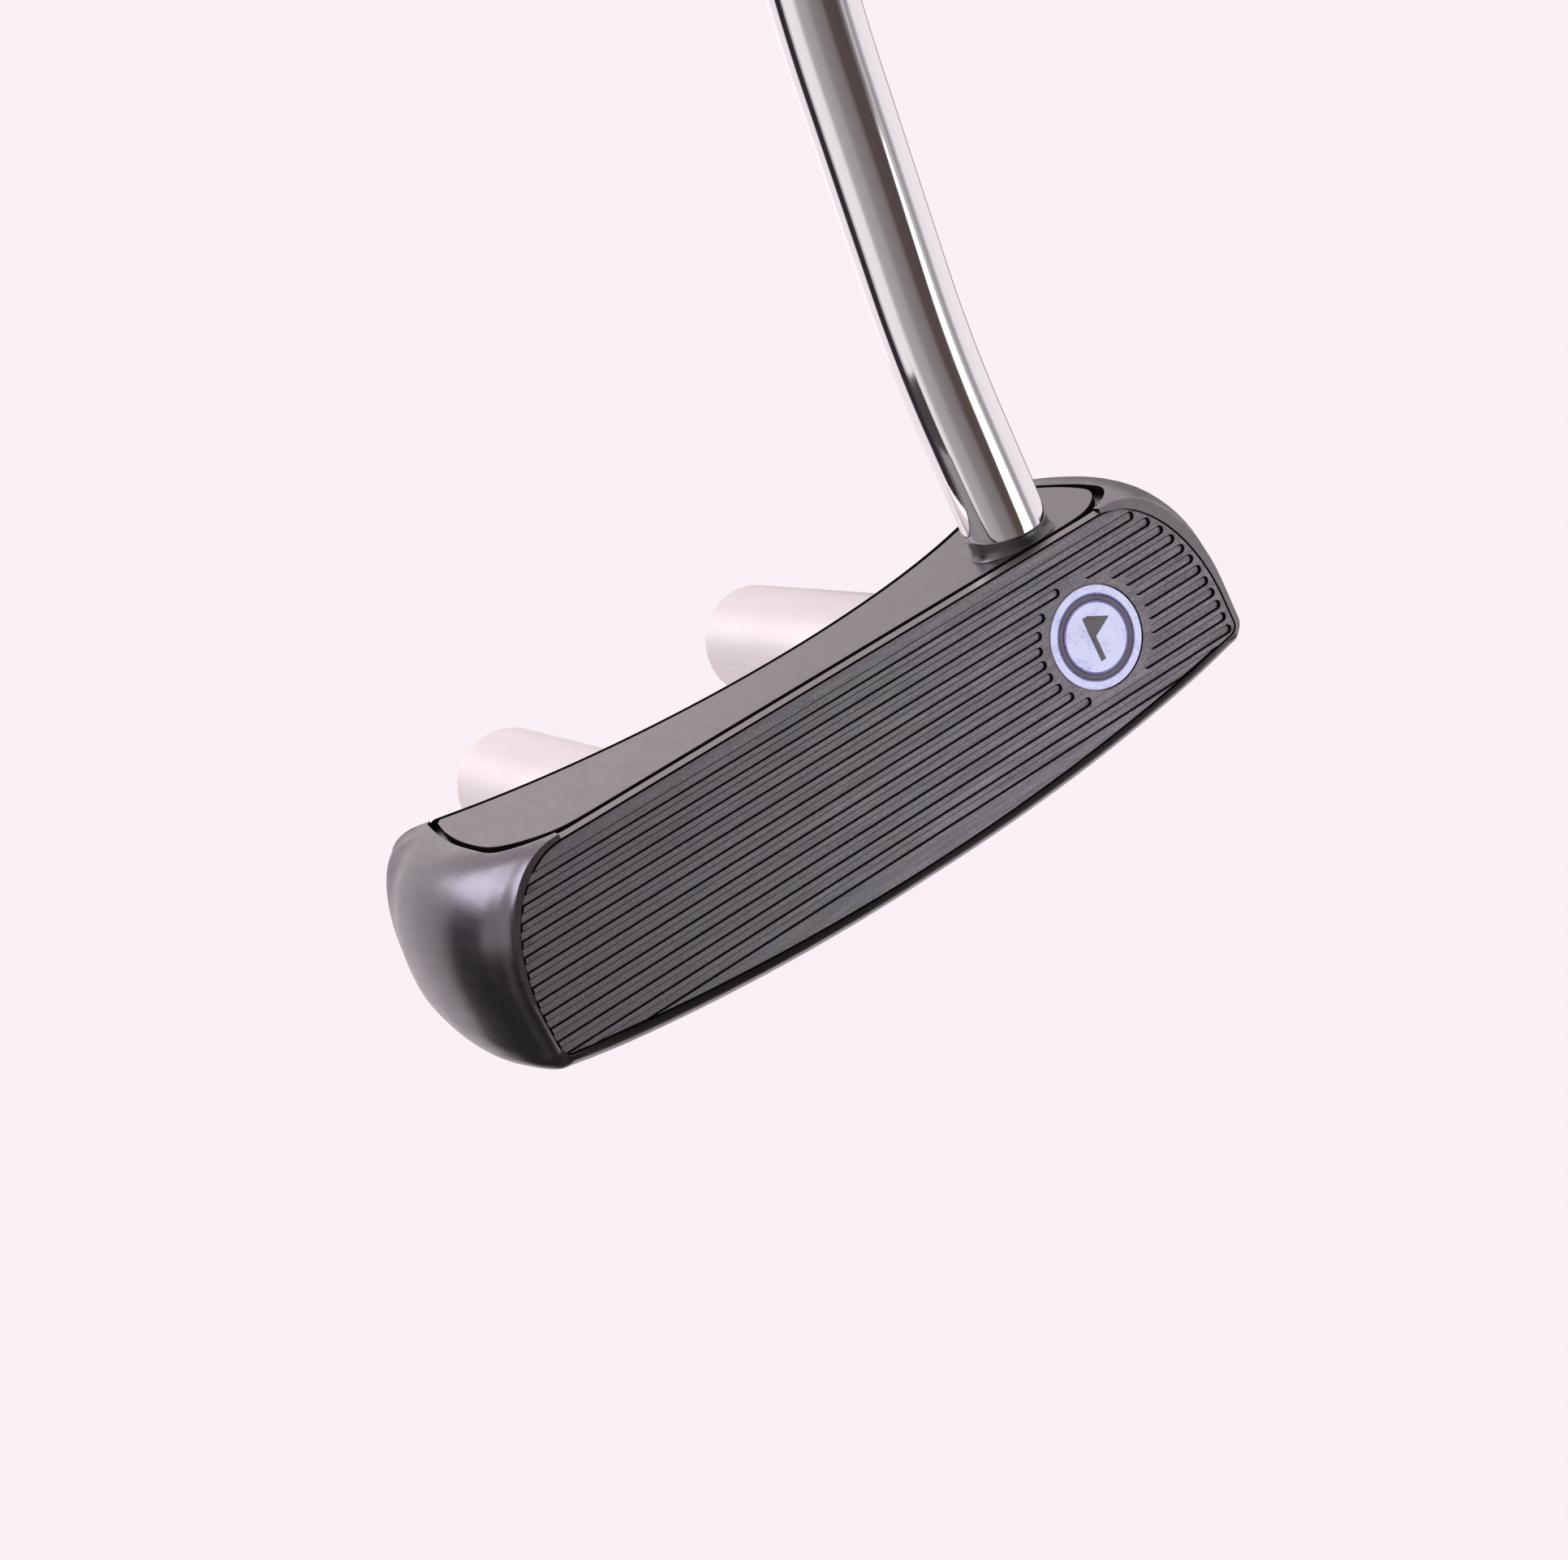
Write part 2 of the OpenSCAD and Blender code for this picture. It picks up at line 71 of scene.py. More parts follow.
LOFT = 3.0
FACE_Y = -9 * MM
FACE_REF_Z = 23 * MM
REAR_R = 57 * MM
REAR_Y = 6.7 * MM
REAR_CENTRE_Y = REAR_Y + REAR_R
TIP_R = 4.5 * MM
LIE = 71.0
BEND_R = 174 * MM
FIRST_LEAN = 5.4
FIRST_HEADING = -11.0
TIP_STRAIGHT = 12.1 * MM
MID_STRAIGHT = 21.5 * MM
CLUB_LENGTH = 864 * MM
CAP_T = 3 * MM
GRIP_LEN = 266 * MM
GRIP_W = 27 * MM
GRIP_TIP_D = 20 * MM
SHAFT_R = 4.7 * MM
BUTT_R = 7.35 * MM


# ---- Camera ----

LENS = 57.415
CAMERA_AT = (-0.09334, -0.24059, 0.09257)
CAMERA_RIGHT = Vector((0.80665, -0.41943, -0.41640))
CAMERA_UP = Vector((0.49667, 0.09918, 0.86226))


def add_camera():
    """Looks from the front and the toe, a little above, with the club tilted in the picture."""
    cam = bpy.data.cameras.new("camera")
    cam.lens = LENS
    cam.clip_start = 0.01
    cam.clip_end = 100
    obj = bpy.data.objects.new("camera", cam)
    back = CAMERA_RIGHT.cross(CAMERA_UP)
    turn = Matrix((CAMERA_RIGHT, CAMERA_UP, back)).transposed().to_4x4()
    obj.matrix_world = shift(CAMERA_AT) @ turn
    scene.collection.objects.link(obj)
    scene.camera = obj


# ---- Mesh helpers ----

def new_object(name, verts, faces):
    mesh = bpy.data.meshes.new(name)
    mesh.from_pydata([tuple(v) for v in verts], [], faces)
    mesh.validate()
    obj = bpy.data.objects.new(name, mesh)
    scene.collection.objects.link(obj)
    return obj


@contextmanager
def editing(obj):
    """Opens an object's mesh for editing, and writes it back."""
    bm = bmesh.new()
    bm.from_mesh(obj.data)
    yield bm
    bm.to_mesh(obj.data)
    bm.free()


def solid(name, verts, faces):
    """An object with every face turned to the outside."""
    obj = new_object(name, verts, faces)
    with editing(obj) as bm:
        bmesh.ops.recalc_face_normals(bm, faces=bm.faces)
    return obj


def apply_modifier(obj, modifier):
    bpy.context.view_layer.update()
    graph = bpy.context.evaluated_depsgraph_get()
    mesh = bpy.data.meshes.new_from_object(obj.evaluated_get(graph))
    obj.modifiers.remove(modifier)
    old = obj.data
    obj.data = mesh
    bpy.data.meshes.remove(old)


def smooth(obj, angle=30):
    """Smooth shading that keeps the large faces flat and the sharp edges sharp."""
    for polygon in obj.data.polygons:
        polygon.use_smooth = True
    obj.data.set_sharp_from_angle(angle=radians(angle))
    modifier = obj.modifiers.new("normals", "WEIGHTED_NORMAL")
    modifier.keep_sharp = True
    apply_modifier(obj, modifier)
    return obj


def cut(obj, tool):
    """Cuts the tool out of the object, and deletes the tool."""
    modifier = obj.modifiers.new("boolean", "BOOLEAN")
    modifier.solver = "EXACT"
    modifier.object = tool
    apply_modifier(obj, modifier)
    bpy.data.objects.remove(tool)


def bevel(obj, width, angle=40):
    modifier = obj.modifiers.new("bevel", "BEVEL")
    modifier.width = width
    modifier.segments = 2
    modifier.limit_method = "ANGLE"
    modifier.angle_limit = radians(angle)
    apply_modifier(obj, modifier)


def prism(name, outline, low, high, place=Matrix.Identity(4)):
    """A closed solid that carries a plan outline from height low to high."""
    n = len(outline)
    verts = [place @ Vector((x, y, z)) for z in (low, high) for x, y in outline]
    faces = [tuple(range(n))[::-1], tuple(range(n, 2 * n))]
    faces += [(i, (i + 1) % n, n + (i + 1) % n, n + i) for i in range(n)]
    return solid(name, verts, faces)


def lathe(name, profile, place, sides=96):
    """Turns a closed profile of (radius, height) points, or one from axis to axis, about Z."""
    verts, rings = [], []
    for r, z in profile:
        if r == 0:
            rings.append([len(verts)])
            verts.append(place @ Vector((0, 0, z)))
        else:
            rings.append(list(range(len(verts), len(verts) + sides)))
            verts += [place @ Vector((x, y, z)) for x, y in circle(0, 0, r, sides)]
    faces = []
    for low, high in zip(rings, rings[1:]):
        for i in range(sides):
            j = (i + 1) % sides
            if len(low) == 1:
                faces.append((low[0], high[j], high[i]))
            elif len(high) == 1:
                faces.append((low[i], low[j], high[0]))
            else:
                faces.append((low[i], low[j], high[j], high[i]))
    obj = new_object(name, verts, faces)
    with editing(obj) as bm:
        if profile[0][0] > 0 and profile[0] == profile[-1]:
            bmesh.ops.remove_doubles(bm, verts=bm.verts, dist=1e-8)
        bmesh.ops.recalc_face_normals(bm, faces=bm.faces)
    return obj


def skin_faces(count, sides):
    """Faces of a closed skin over count rings of points, with a flat end on the first and last."""
    faces = []
    for k in range(count - 1):
        for i in range(sides):
            j = (i + 1) % sides
            faces.append((k * sides + i, k * sides + j, (k + 1) * sides + j, (k + 1) * sides + i))
    return faces + [tuple(range(sides)), tuple(range((count - 1) * sides, count * sides))]


def full_turn(sides):
    return [tau * i / sides for i in range(sides)]


def circle(cx, cy, r, sides=96):
    return [(cx + r * cos(a), cy + r * sin(a)) for a in full_turn(sides)]


def arc(cx, cy, r, start, end, steps):
    turn = (radians(start + (end - start) * i / steps) for i in range(steps + 1))
    return [(cx + r * cos(a), cy + r * sin(a)) for a in turn]


def round_edge(r, z, radius):
    """Profile points that round an edge in from radius r and up from height z."""
    turn = (radians(15 * i) for i in range(1, 7))
    return [(r - radius * (1 - cos(a)), z + radius * sin(a)) for a in turn]


def through(points, per_span):
    """A smooth open curve through the points (Catmull-Rom)."""
    pts = [Vector(p) for p in points]
    pts = [2 * pts[0] - pts[1]] + pts + [2 * pts[-1] - pts[-2]]
    out = []
    for a, b, c, d in zip(pts, pts[1:], pts[2:], pts[3:]):
        for i in range(per_span):
            t = i / per_span
            out.append(0.5 * (2 * b + (c - a) * t + (2 * a - 5 * b + 4 * c - d) * t ** 2
                              + (3 * b - a - 3 * c + d) * t ** 3))
    out.append(pts[-2])
    return out


def curve_at(keys, t):
    """Value at t of a smooth curve through (t, value) keys."""
    if t <= keys[0][0]:
        return keys[0][1]
    if t >= keys[-1][0]:
        return keys[-1][1]
    slopes = [(b[1] - a[1]) / (b[0] - a[0]) for a, b in zip(keys, keys[1:])]
    inner = [(a + b) / 2 if a * b > 0 else 0.0 for a, b in zip(slopes, slopes[1:])]
    ends = [slopes[0]] + inner + [slopes[-1]]
    for i, ((t0, v0), (t1, v1)) in enumerate(zip(keys, keys[1:])):
        if t <= t1:
            w = t1 - t0
            u = (t - t0) / w
            return (v0 * (2 * u ** 3 - 3 * u ** 2 + 1) + v1 * (3 * u ** 2 - 2 * u ** 3)
                    + w * (ends[i] * (u ** 3 - 2 * u ** 2 + u) + ends[i + 1] * (u ** 3 - u ** 2)))


def face_place():
    """Local frame of the face: X along the grooves, Y up the face, Z out of the face."""
    lean = Matrix.Rotation(radians(-LOFT), 4, "X")
    stand = Matrix.Rotation(radians(90), 4, "X")
    return shift((0, FACE_Y, FACE_REF_Z)) @ lean @ stand


def in_bar(end, y):
    """Local frame on the axis of one end's bar, with Z towards the back."""
    place = shift((SIDES[end] * BAR_X, y, BAR_Z))
    return place @ Matrix.Rotation(radians(-90), 4, "X")


def at_post(z):
    return shift((POST.x, POST.y, z))


# ---- Head body ----

# Plan of one end in mm, from ahead of the face to the wing tip
END_PLAN = [(44.6, -18), (44.9, -12), (45.2, -9), (46.4, -6.9), (47.8, -4.2), (49.25, 0.3),
            (50.1, 6), (50.25, 11), (49.9, 16.5)]
TIP_CENTRE = (44.34, 21.09)
TIP_ANGLES = (15, 136)

# Sole: flat in the middle, cambered beyond it, and turned up further at each end
SOLE_FLAT_HALF = 3 * MM
CAMBER_R = 229 * MM
END_RISE_X = 36 * MM
END_RISE = 3.5
ROLL_LEN = 2.9 * MM
ROLL_EDGE = 1.0 * MM
REAR_RISE_Y = 5 * MM
REAR_RISE = 4.0

# Crown: it falls away beyond the plate
CROWN_FALL_X = 40.6 * MM
CROWN_FALL = 95.0

# Insert's edge: straight top, elliptical ends, rounded lower corners and a shallow arc below
INSERT_TOE = 44.8 * MM
INSERT_HEEL = 44.2 * MM
INSERT_TOP = 2.28 * MM
INSERT_END_W = 10 * MM
INSERT_END_Z = -13 * MM
INSERT_LOW_Z = -20.6 * MM
INSERT_LOW_R = 263 * MM
INSERT_CORNER = 1.1 * MM
INSERT_GAP = 0.2 * MM


def body_outline():
    """Plan outline of the heel half, from the front round to the middle of the rear wall."""
    tip = arc(*TIP_CENTRE, TIP_R / MM, *TIP_ANGLES, 26)
    end = through(END_PLAN + tip[:1], 9)[:-1]
    centre_y = REAR_CENTRE_Y / MM
    start = degrees(atan2(tip[-1][1] - centre_y, tip[-1][0]))
    rear = arc(0, centre_y, REAR_R / MM, start, -90, 56)[1:]
    return [Vector(p) * MM for p in list(end) + tip + rear]


def sole_height(x, y):
    """Height of the sole: cambered to toe and heel, rolled up to the face, and rising behind."""
    camber = (max(0.0, abs(x) - SOLE_FLAT_HALF) ** 2 / (2 * CAMBER_R)
              + END_RISE * max(0.0, abs(x) - END_RISE_X) ** 2)
    roll_start = FACE_Y + ROLL_LEN
    edge = FACE_Y - ROLL_EDGE
    face_low = FACE_REF_Z + insert_bottom(min(abs(x), INSERT_HEEL)) - INSERT_GAP
    t = min(1.25, max(0.0, (roll_start - y) / (roll_start - edge)))
    roll = max(0.0, face_low - camber) * t * t
    rise = REAR_RISE * max(0.0, y - REAR_RISE_Y) ** 2
    return camber + roll + rise


def crown_height(x, y):
    """Height of the crown: flat over the plate, falling away to the wing tips."""
    return CROWN_Z - CROWN_FALL * max(0.0, abs(x) - CROWN_FALL_X) ** 2


def insert_bottom(x):
    return INSERT_LOW_Z + INSERT_LOW_R - sqrt(INSERT_LOW_R ** 2 - x ** 2)


def insert_outline(grow=0.0):
    """Outline of the insert on the face, grown by a gap all round."""
    wide, high = INSERT_END_W + grow, INSERT_TOP - INSERT_END_Z + grow
    quarter = [(sin(a), cos(a)) for a in (radians(i * 3) for i in range(31))]
    heel = [(INSERT_HEEL - INSERT_END_W + wide * s, INSERT_END_Z + high * c) for s, c in quarter]
    toe = [(-(INSERT_TOE - INSERT_END_W + wide * s), INSERT_END_Z + high * c)
           for s, c in reversed(quarter)]
    heel_x, toe_x = INSERT_HEEL - INSERT_CORNER, -INSERT_TOE + INSERT_CORNER
    steps = 60
    bottom = [(x, insert_bottom(x) - grow)
              for x in (heel_x + (toe_x - heel_x) * i / steps for i in range(steps + 1))]
    turn = [radians(15 * i) for i in range(6)]
    out = INSERT_CORNER + grow
    heel_z, toe_z = insert_bottom(heel_x) + INSERT_CORNER, insert_bottom(toe_x) + INSERT_CORNER
    heel_low = [(heel_x + out * cos(a), heel_z - out * sin(a)) for a in turn]
    toe_low = [(toe_x - out * cos(a), toe_z - out * sin(a)) for a in reversed(turn)]
    return heel + heel_low + bottom + toe_low + toe


def shape_cap(bm, cap, height):
    """Cuts one flat end of the loft into a grid and lifts its inner points to their height."""
    rim = set(cap.verts)
    parts = [cap]
    for axis, low, high, step in ((0, -52, 52, 2.0), (1, -15, 27, 1.5)):
        at = low
        while at < high:
            co, no = [0.0, 0.0, 0.0], [0.0, 0.0, 0.0]
            co[axis], no[axis] = at * MM, 1.0
            geom = {g for f in parts for g in (f, *f.edges, *f.verts)}
            result = bmesh.ops.bisect_plane(bm, geom=list(geom), plane_co=co, plane_no=no,
                                            dist=1e-7)
            parts = [g for g in result["geom"] if isinstance(g, bmesh.types.BMFace)]
            at += step
    for v in {v for f in parts for v in f.verts} - rim:
        v.co.z = height(v.co.x, v.co.y)


# Walls, as (distance round the outline from the face, value) keys in mm: how far they lean in at
# the crown and the sole, how tall these curves are, and how much the wing tip is rounded
TOP_IN = [(0, 10), (8, 9.6), (16, 8.8), (24, 7.6), (29, 6.4), (33, 3), (38, 0.3), (50, 0)]
TOP_H = [(0, 14), (16, 14.5), (26, 14.5), (33, 13), (40, 8), (50, 3)]
LOW_IN = [(0, 1.2), (5, 2), (12, 2.6), (20, 4), (28, 5.2), (33, 3), (38, 0.5), (50, 0.2)]
LOW_H = [(0, 1.6), (5, 3), (12, 5), (20, 7), (28, 8), (34, 7), (40, 3), (50, 1.5)]
LOW_TIP = [(0, 0), (18, 0), (25, 0.9), (30, 1.8), (34, 1.8), (38, 0.5), (44, 0.15), (50, 0.15)]
TOP_TIP = [(0, 0), (18, 0), (25, 1), (30, 2.2), (35, 2.9), (40, 1.2), (44, 0.2), (50, 0.15)]
LOW_STEPS, TOP_STEPS = 12, 16
LEAST_WALL = 0.4 * MM


def mirrored(half):
    """Vectors along one half, then back along the other."""
    return half + [Vector((-v.x, v.y)) for v in half[-2::-1]]


def body_loft():
    """The closed crescent before its face and pockets are cut."""
    half = body_outline()
    # Outward directions, straight to the side near the face
    out_half = []
    for i, p in enumerate(half):
        along = half[min(i + 1, len(half) - 1)] - half[max(i - 1, 0)]
        out = Vector((along.y, -along.x)).normalized()
        t = min(1.0, max(0.0, p.y / MM / 6))
        out_half.append((Vector((1, 0)) * (1 - t) + out * t).normalized())
    out_half[-1] = Vector((0, 1))

    # Distance round the outline from the face
    run = [0.0]
    for a, b in zip(half, half[1:]):
        run.append(run[-1] + (b - a).length)
    at_face = next(r for r, p in zip(run, half) if p.y >= FACE_Y)
    run = [r - at_face for r in run + run[-2::-1]]

    verts = []
    for p, out, s in zip(mirrored(half), mirrored(out_half), run):
        s = s / MM
        lean = Vector((1 if p.x > 0 else -1, 0))
        low_pull = lean * curve_at(LOW_IN, s) * MM + out * curve_at(LOW_TIP, s) * MM
        top_pull = lean * curve_at(TOP_IN, s) * MM + out * curve_at(TOP_TIP, s) * MM
        h_low, h_top = curve_at(LOW_H, s) * MM, curve_at(TOP_H, s) * MM
        foot = p - low_pull
        ground = sole_height(foot.x, foot.y)
        brow = crown_height(*(p - top_pull))
        squeeze = min(1.0, (brow - ground - LEAST_WALL) / (h_low + h_top))
        h_low, h_top = h_low * squeeze, h_top * squeeze
        for i in range(LOW_STEPS + 1):
            a = radians(90 - 90 * i / LOW_STEPS)
            q = p - low_pull * (1 - cos(a))
            verts.append((q.x, q.y, ground + h_low * (1 - sin(a))))
        for i in range(TOP_STEPS + 1):
            a = radians(90 * i / TOP_STEPS)
            q = p - top_pull * (1 - cos(a))
            verts.append((q.x, q.y, brow - h_top * (1 - sin(a))))
    n, rows = len(run), LOW_STEPS + TOP_STEPS + 2
    faces = []
    for i in range(n):
        j = (i + 1) % n
        for k in range(rows - 1):
            faces.append((i * rows + k, j * rows + k, j * rows + k + 1, i * rows + k + 1))
    faces += [tuple(i * rows for i in range(n)), tuple(i * rows + rows - 1 for i in range(n))]
    obj = new_object("head_body_shell", verts, faces)
    with editing(obj) as bm:
        bm.faces.ensure_lookup_table()
        caps = list(bm.faces)[-2:]
        for cap, height in zip(caps, (sole_height, crown_height)):
            shape_cap(bm, cap, height)
        bmesh.ops.recalc_face_normals(bm, faces=bm.faces)
    return obj


# Crown plate and its recess: corners in mm from the front to the rear, and the rear edge's radius
PLATE_HALF = [(31.0, -7.25), (33.4, -6.9), (35.4, -5.75), (37.6, -3.4), (39.2, -0.6),
              (39.9, 2.6), (40.2, 8), (39.9, 14), (39.1, 19.4)]
PLATE_REAR_R = 57.9
RECESS_HALF = [(31.0, -7.95), (34.2, -7.85), (36.5, -6.7), (38.7, -4.4), (40.2, -1.5),
               (40.7, 2.4), (40.9, 8), (40.6, 14.5), (39.8, 21.2)]
RECESS_REAR_R = 57.2
PLATE_TOP = CROWN_Z - 0.05 * MM
PLATE_BOTTOM = CROWN_Z - 1.0 * MM
POST_HOLE_R = 3.5 * MM
SCREW_HOLE_R = 3.6 * MM
SCREW_HOLE_DEPTH = 6.2 * MM
BAR_GAP = 0.06 * MM
POCKET_DEPTH = 0.8 * MM

# Lip between the plate and the face, as (y, z) corners in mm of what is cut off it
LIP_CUT = [(-7.95, 25.78), (-11, 24.87), (-11, 30), (-7.7, 30), (-7.7, 25.78)]
LIP_HALF = 34.8 * MM
WORN_HALF = 34.6 * MM


def crown_outline(corners, rear_r):
    """Closed outline through the corners of one half and along a rear arc of radius rear_r."""
    meet_x = corners[-1][0] - 0.6
    start = degrees(atan2(-sqrt(rear_r ** 2 - meet_x ** 2), meet_x))
    rear = arc(0, REAR_CENTRE_Y / MM, rear_r, start, -90, 60)
    half = [tuple(p) for p in through(corners, 6)] + rear
    return [(x * MM, y * MM) for x, y in half + [(-x, y) for x, y in half[-2::-1]]]


def rod(name, r, low, high, place):
    """A plain round cutter."""
    return lathe(name, [(0, low), (r, low), (r, high), (0, high)], place)


def make_plate():
    outline = crown_outline(PLATE_HALF, PLATE_REAR_R)
    plate = prism("crown_plate_skin", outline, PLATE_BOTTOM, PLATE_TOP)
    cut(plate, rod("post_hole", POST_HOLE_R, -5 * MM, 5 * MM, at_post(CROWN_Z)))
    bevel(plate, 0.08 * MM, angle=50)
    # Painted shade: the plate's sides get the near-black material, for the dark gap round it
    for polygon in plate.data.polygons:
        polygon.material_index = int(abs(polygon.normal.z) < 0.5)
    return smooth(plate, 40)


def make_body():
    body = body_loft()
    ahead = [(-0.08, -0.04), (0.08, -0.04), (0.08, 0.02), (-0.08, 0.02)]
    cut(body, prism("face_cutter", ahead, 0, 0.03, face_place()))
    side_on = Matrix(((0, 0, 1, 0), (1, 0, 0, 0), (0, 1, 0, 0), (0, 0, 0, 1)))
    lip = [(y * MM, z * MM) for y, z in LIP_CUT]
    cut(body, prism("lip_cutter", lip, -LIP_HALF, LIP_HALF, side_on))
    pocket = insert_outline(INSERT_GAP)
    cut(body, prism("pocket_cutter", pocket, -POCKET_DEPTH, 5 * MM, face_place()))
    recess = crown_outline(RECESS_HALF, RECESS_REAR_R)
    cut(body, prism("recess_cutter", recess, PLATE_BOTTOM - 0.1 * MM, CROWN_Z + 3 * MM))
    for end in SIDES:
        cut(body, rod("socket_cutter", BAR_R + BAR_GAP, 0, 60 * MM, in_bar(end, BAR_FRONT_Y)))
    cut(body, rod("screw_cutter", SCREW_HOLE_R, -1 * MM, SCREW_HOLE_DEPTH, at_post(0)))
    bevel(body, 0.07 * MM)
    smooth(body)
    mark_body(body)
    return body


def mark_body(body):
    """Painted shade, the near-black material, on the walls and floor of the plate's recess; the
    third finish on the worn lip above the face.
    """
    rear_centre = Vector((0, REAR_CENTRE_Y))
    lip_low = FACE_REF_Z + INSERT_TOP + 0.1 * MM
    for polygon in body.data.polygons:
        c, n = polygon.center, polygon.normal
        deep = CROWN_Z - 1.2 * MM < c.z < CROWN_Z - 0.03 * MM
        inside = (abs(c.x) < 41 * MM and c.y > -8.4 * MM
                  and (c.xy - rear_centre).length > REAR_R + 0.1 * MM)
        on_lip = abs(c.x) < WORN_HALF and c.y < -7.9 * MM and c.z > lip_low
        # Painted shade: the recess's walls and its floor round the plate are near black
        if deep and inside and (abs(n.z) < 0.3 or c.z < PLATE_BOTTOM - 0.05 * MM):
            polygon.material_index = 1
        elif on_lip and 0.85 < n.z < 0.99:
            polygon.material_index = 2


# ---- Face insert ----

INSERT_T = 2.0 * MM
GROOVES = 13
GROOVE_PITCH = 1.524 * MM
GROOVE_W = 0.99 * MM
GROOVE_D = 0.40 * MM
GROOVE_END_GAP = 0.5 * MM
BADGE_R = 5.77 * MM
BADGE_X = 28.1 * MM
BADGE_Z = -9.1 * MM
BADGE_DEPTH = 0.28 * MM
BADGE_LAND = BADGE_R + 1 * MM


def insert_reach(reach, z):
    """How far an end of the insert reaches at height z."""
    if z < INSERT_END_Z:
        return reach
    t = (z - INSERT_END_Z) / (INSERT_TOP - INSERT_END_Z)
    return reach - INSERT_END_W * (1 - sqrt(1 - t * t))


def slot_cutter(x0, x1, z, round_start):
    """A slot from x0 to x1 at height z: rounded ends, steep walls and a flat floor."""
    half = GROOVE_W / 2
    # Height, then half widths above and below the middle
    levels = [(0.2 * MM, half + 0.20 * MM, half + 0.20 * MM), (-0.05 * MM, half, half),
              (-GROOVE_D, half - 0.06 * MM, half - 0.10 * MM),
              (-GROOVE_D - 0.01 * MM, half - 0.15 * MM, half - 0.13 * MM)]
    verts = []
    turn = 10
    for height, up, down in levels:
        bulge = (up + down) / 2
        for x, reach, first in ((x1, bulge, 90), (x0, bulge if round_start else 0, -90)):
            for i in range(turn + 1):
                a = radians(first - 180 * i / turn)
                dz = sin(a)
                verts.append((x + reach * cos(a), z + (up if dz > 0 else down) * dz, height))
    return verts, skin_faces(len(levels), 2 * turn + 2)


def all_slots():
    """Every slot of the face as one cutter."""
    verts, faces = [], []
    for k in range(GROOVES):
        z = -GROOVE_PITCH * k + GROOVE_W / 2
        toe = -insert_reach(INSERT_TOE, z) - 1.5 * MM
        heel = insert_reach(INSERT_HEEL, z) - GROOVE_END_GAP - GROOVE_W / 2
        dz = abs(z - BADGE_Z)
        runs = [(toe, heel, False)]
        if dz < BADGE_LAND:
            half = sqrt(BADGE_LAND ** 2 - dz ** 2) + GROOVE_W / 2
            runs = [(toe, BADGE_X - half, False), (BADGE_X + half, heel, True)]
        for x0, x1, round_start in runs:
            v, f = slot_cutter(x0, x1, z, round_start)
            faces += [tuple(i + len(verts) for i in face) for face in f]
            verts += v
    place = face_place()
    return solid("slot_cutter", [place @ Vector(p) for p in verts], faces)


def make_insert():
    place = face_place()
    insert = prism("face_insert_plate", insert_outline(), -INSERT_T, 0, place)
    bevel(insert, 0.06 * MM)
    # A grid keeps every piece between the slots a plain shape
    lines = [(Vector((1, 0, 0)), x * MM) for x in range(-42, 44, 3)]
    first_land = (GROOVE_W - GROOVE_PITCH / 2 + GROOVE_W / 2) / 2
    lines += [(Vector((0, 1, 0)), first_land - GROOVE_PITCH * k) for k in range(-1, GROOVES)]
    with editing(insert) as bm:
        for axis, at in lines:
            geom = list(bm.verts) + list(bm.edges) + list(bm.faces)
            bmesh.ops.bisect_plane(bm, geom=geom, plane_co=place @ (axis * at),
                                   plane_no=place.to_3x3() @ axis, dist=1e-7)
    cut(insert, all_slots())
    well = circle(BADGE_X, BADGE_Z, BADGE_R + 0.06 * MM)
    cut(insert, prism("badge_well", well, -BADGE_DEPTH, 1 * MM, place))
    smooth(insert, 25)
    # Painted shade: the walls of the slots and the rims of their floors get the near-black shade
    # material
    out = place.to_3x3() @ Vector((0, 0, 1))
    front = place @ Vector((0, 0, 0))
    for polygon in insert.data.polygons:
        height = (polygon.center - front).dot(out)
        steep = abs(polygon.normal.dot(out)) < 0.62 and height < -0.03 * MM
        rim = -GROOVE_D - 0.009 * MM < height < -GROOVE_D
        polygon.material_index = int(steep or rim)
    return insert


def badge_place():
    return face_place() @ shift((BADGE_X, BADGE_Z, 0))


def badge_ring(name, inner, outer, high, edge=0.06 * MM):
    """A raised ring or disc with softened edges. Its radii are parts of the badge's radius."""
    low, r_in, r_out = -BADGE_DEPTH, inner * BADGE_R, outer * BADGE_R
    profile = [(r_in, low), (r_out, low), (r_out, high - edge), (r_out - edge, high)]
    if inner == 0:
        profile += [(0, high)]
    else:
        profile += [(r_in + edge, high), (r_in, high - edge), (r_in, low)]
    return smooth(lathe(name, profile, badge_place()))


def badge_flag():
    height, width = 0.9 * BADGE_R, 0.12 * BADGE_R
    mast = [(-width, -height / 2), (0, -height / 2), (0, height * 0.02),
            (height * 0.48, height * 0.26), (0, height / 2), (-width, height / 2)]
    flag = prism("badge_flag", mast, -0.15 * MM, 0.0, badge_place())
    bevel(flag, 0.05 * MM)
    return smooth(flag)


# ---- Shaft ----

LEAN = Vector((cos(radians(LIE)), 0, sin(radians(LIE))))


def bend_points(start, d0, d1, steps):
    """Points and directions along a bend of radius BEND_R that turns direction d0 into d1."""
    angle = d0.angle(d1)
    side = (d1 - d0 * d0.dot(d1)).normalized()
    out = []
    for i in range(steps + 1):
        a = angle * i / steps
        out.append((start + BEND_R * (d0 * sin(a) + side * (1 - cos(a))),
                    d0 * cos(a) + side * sin(a)))
    return out


def shaft_line():
    """Centre line of the shaft below the upper length, as points with directions."""
    up = Vector((0, 0, 1))
    heading, lean = radians(FIRST_HEADING), radians(FIRST_LEAN)
    turned = Vector((sin(lean) * cos(heading), sin(lean) * sin(heading),
                     cos(lean)))
    start = Vector((POST.x, POST.y, SHAFT_START_Z))
    line = [(start, up)]
    line += bend_points(start + up * TIP_STRAIGHT, up, turned, 14)
    line += bend_points(line[-1][0] + turned * MID_STRAIGHT, turned, LEAN, 22)
    return line


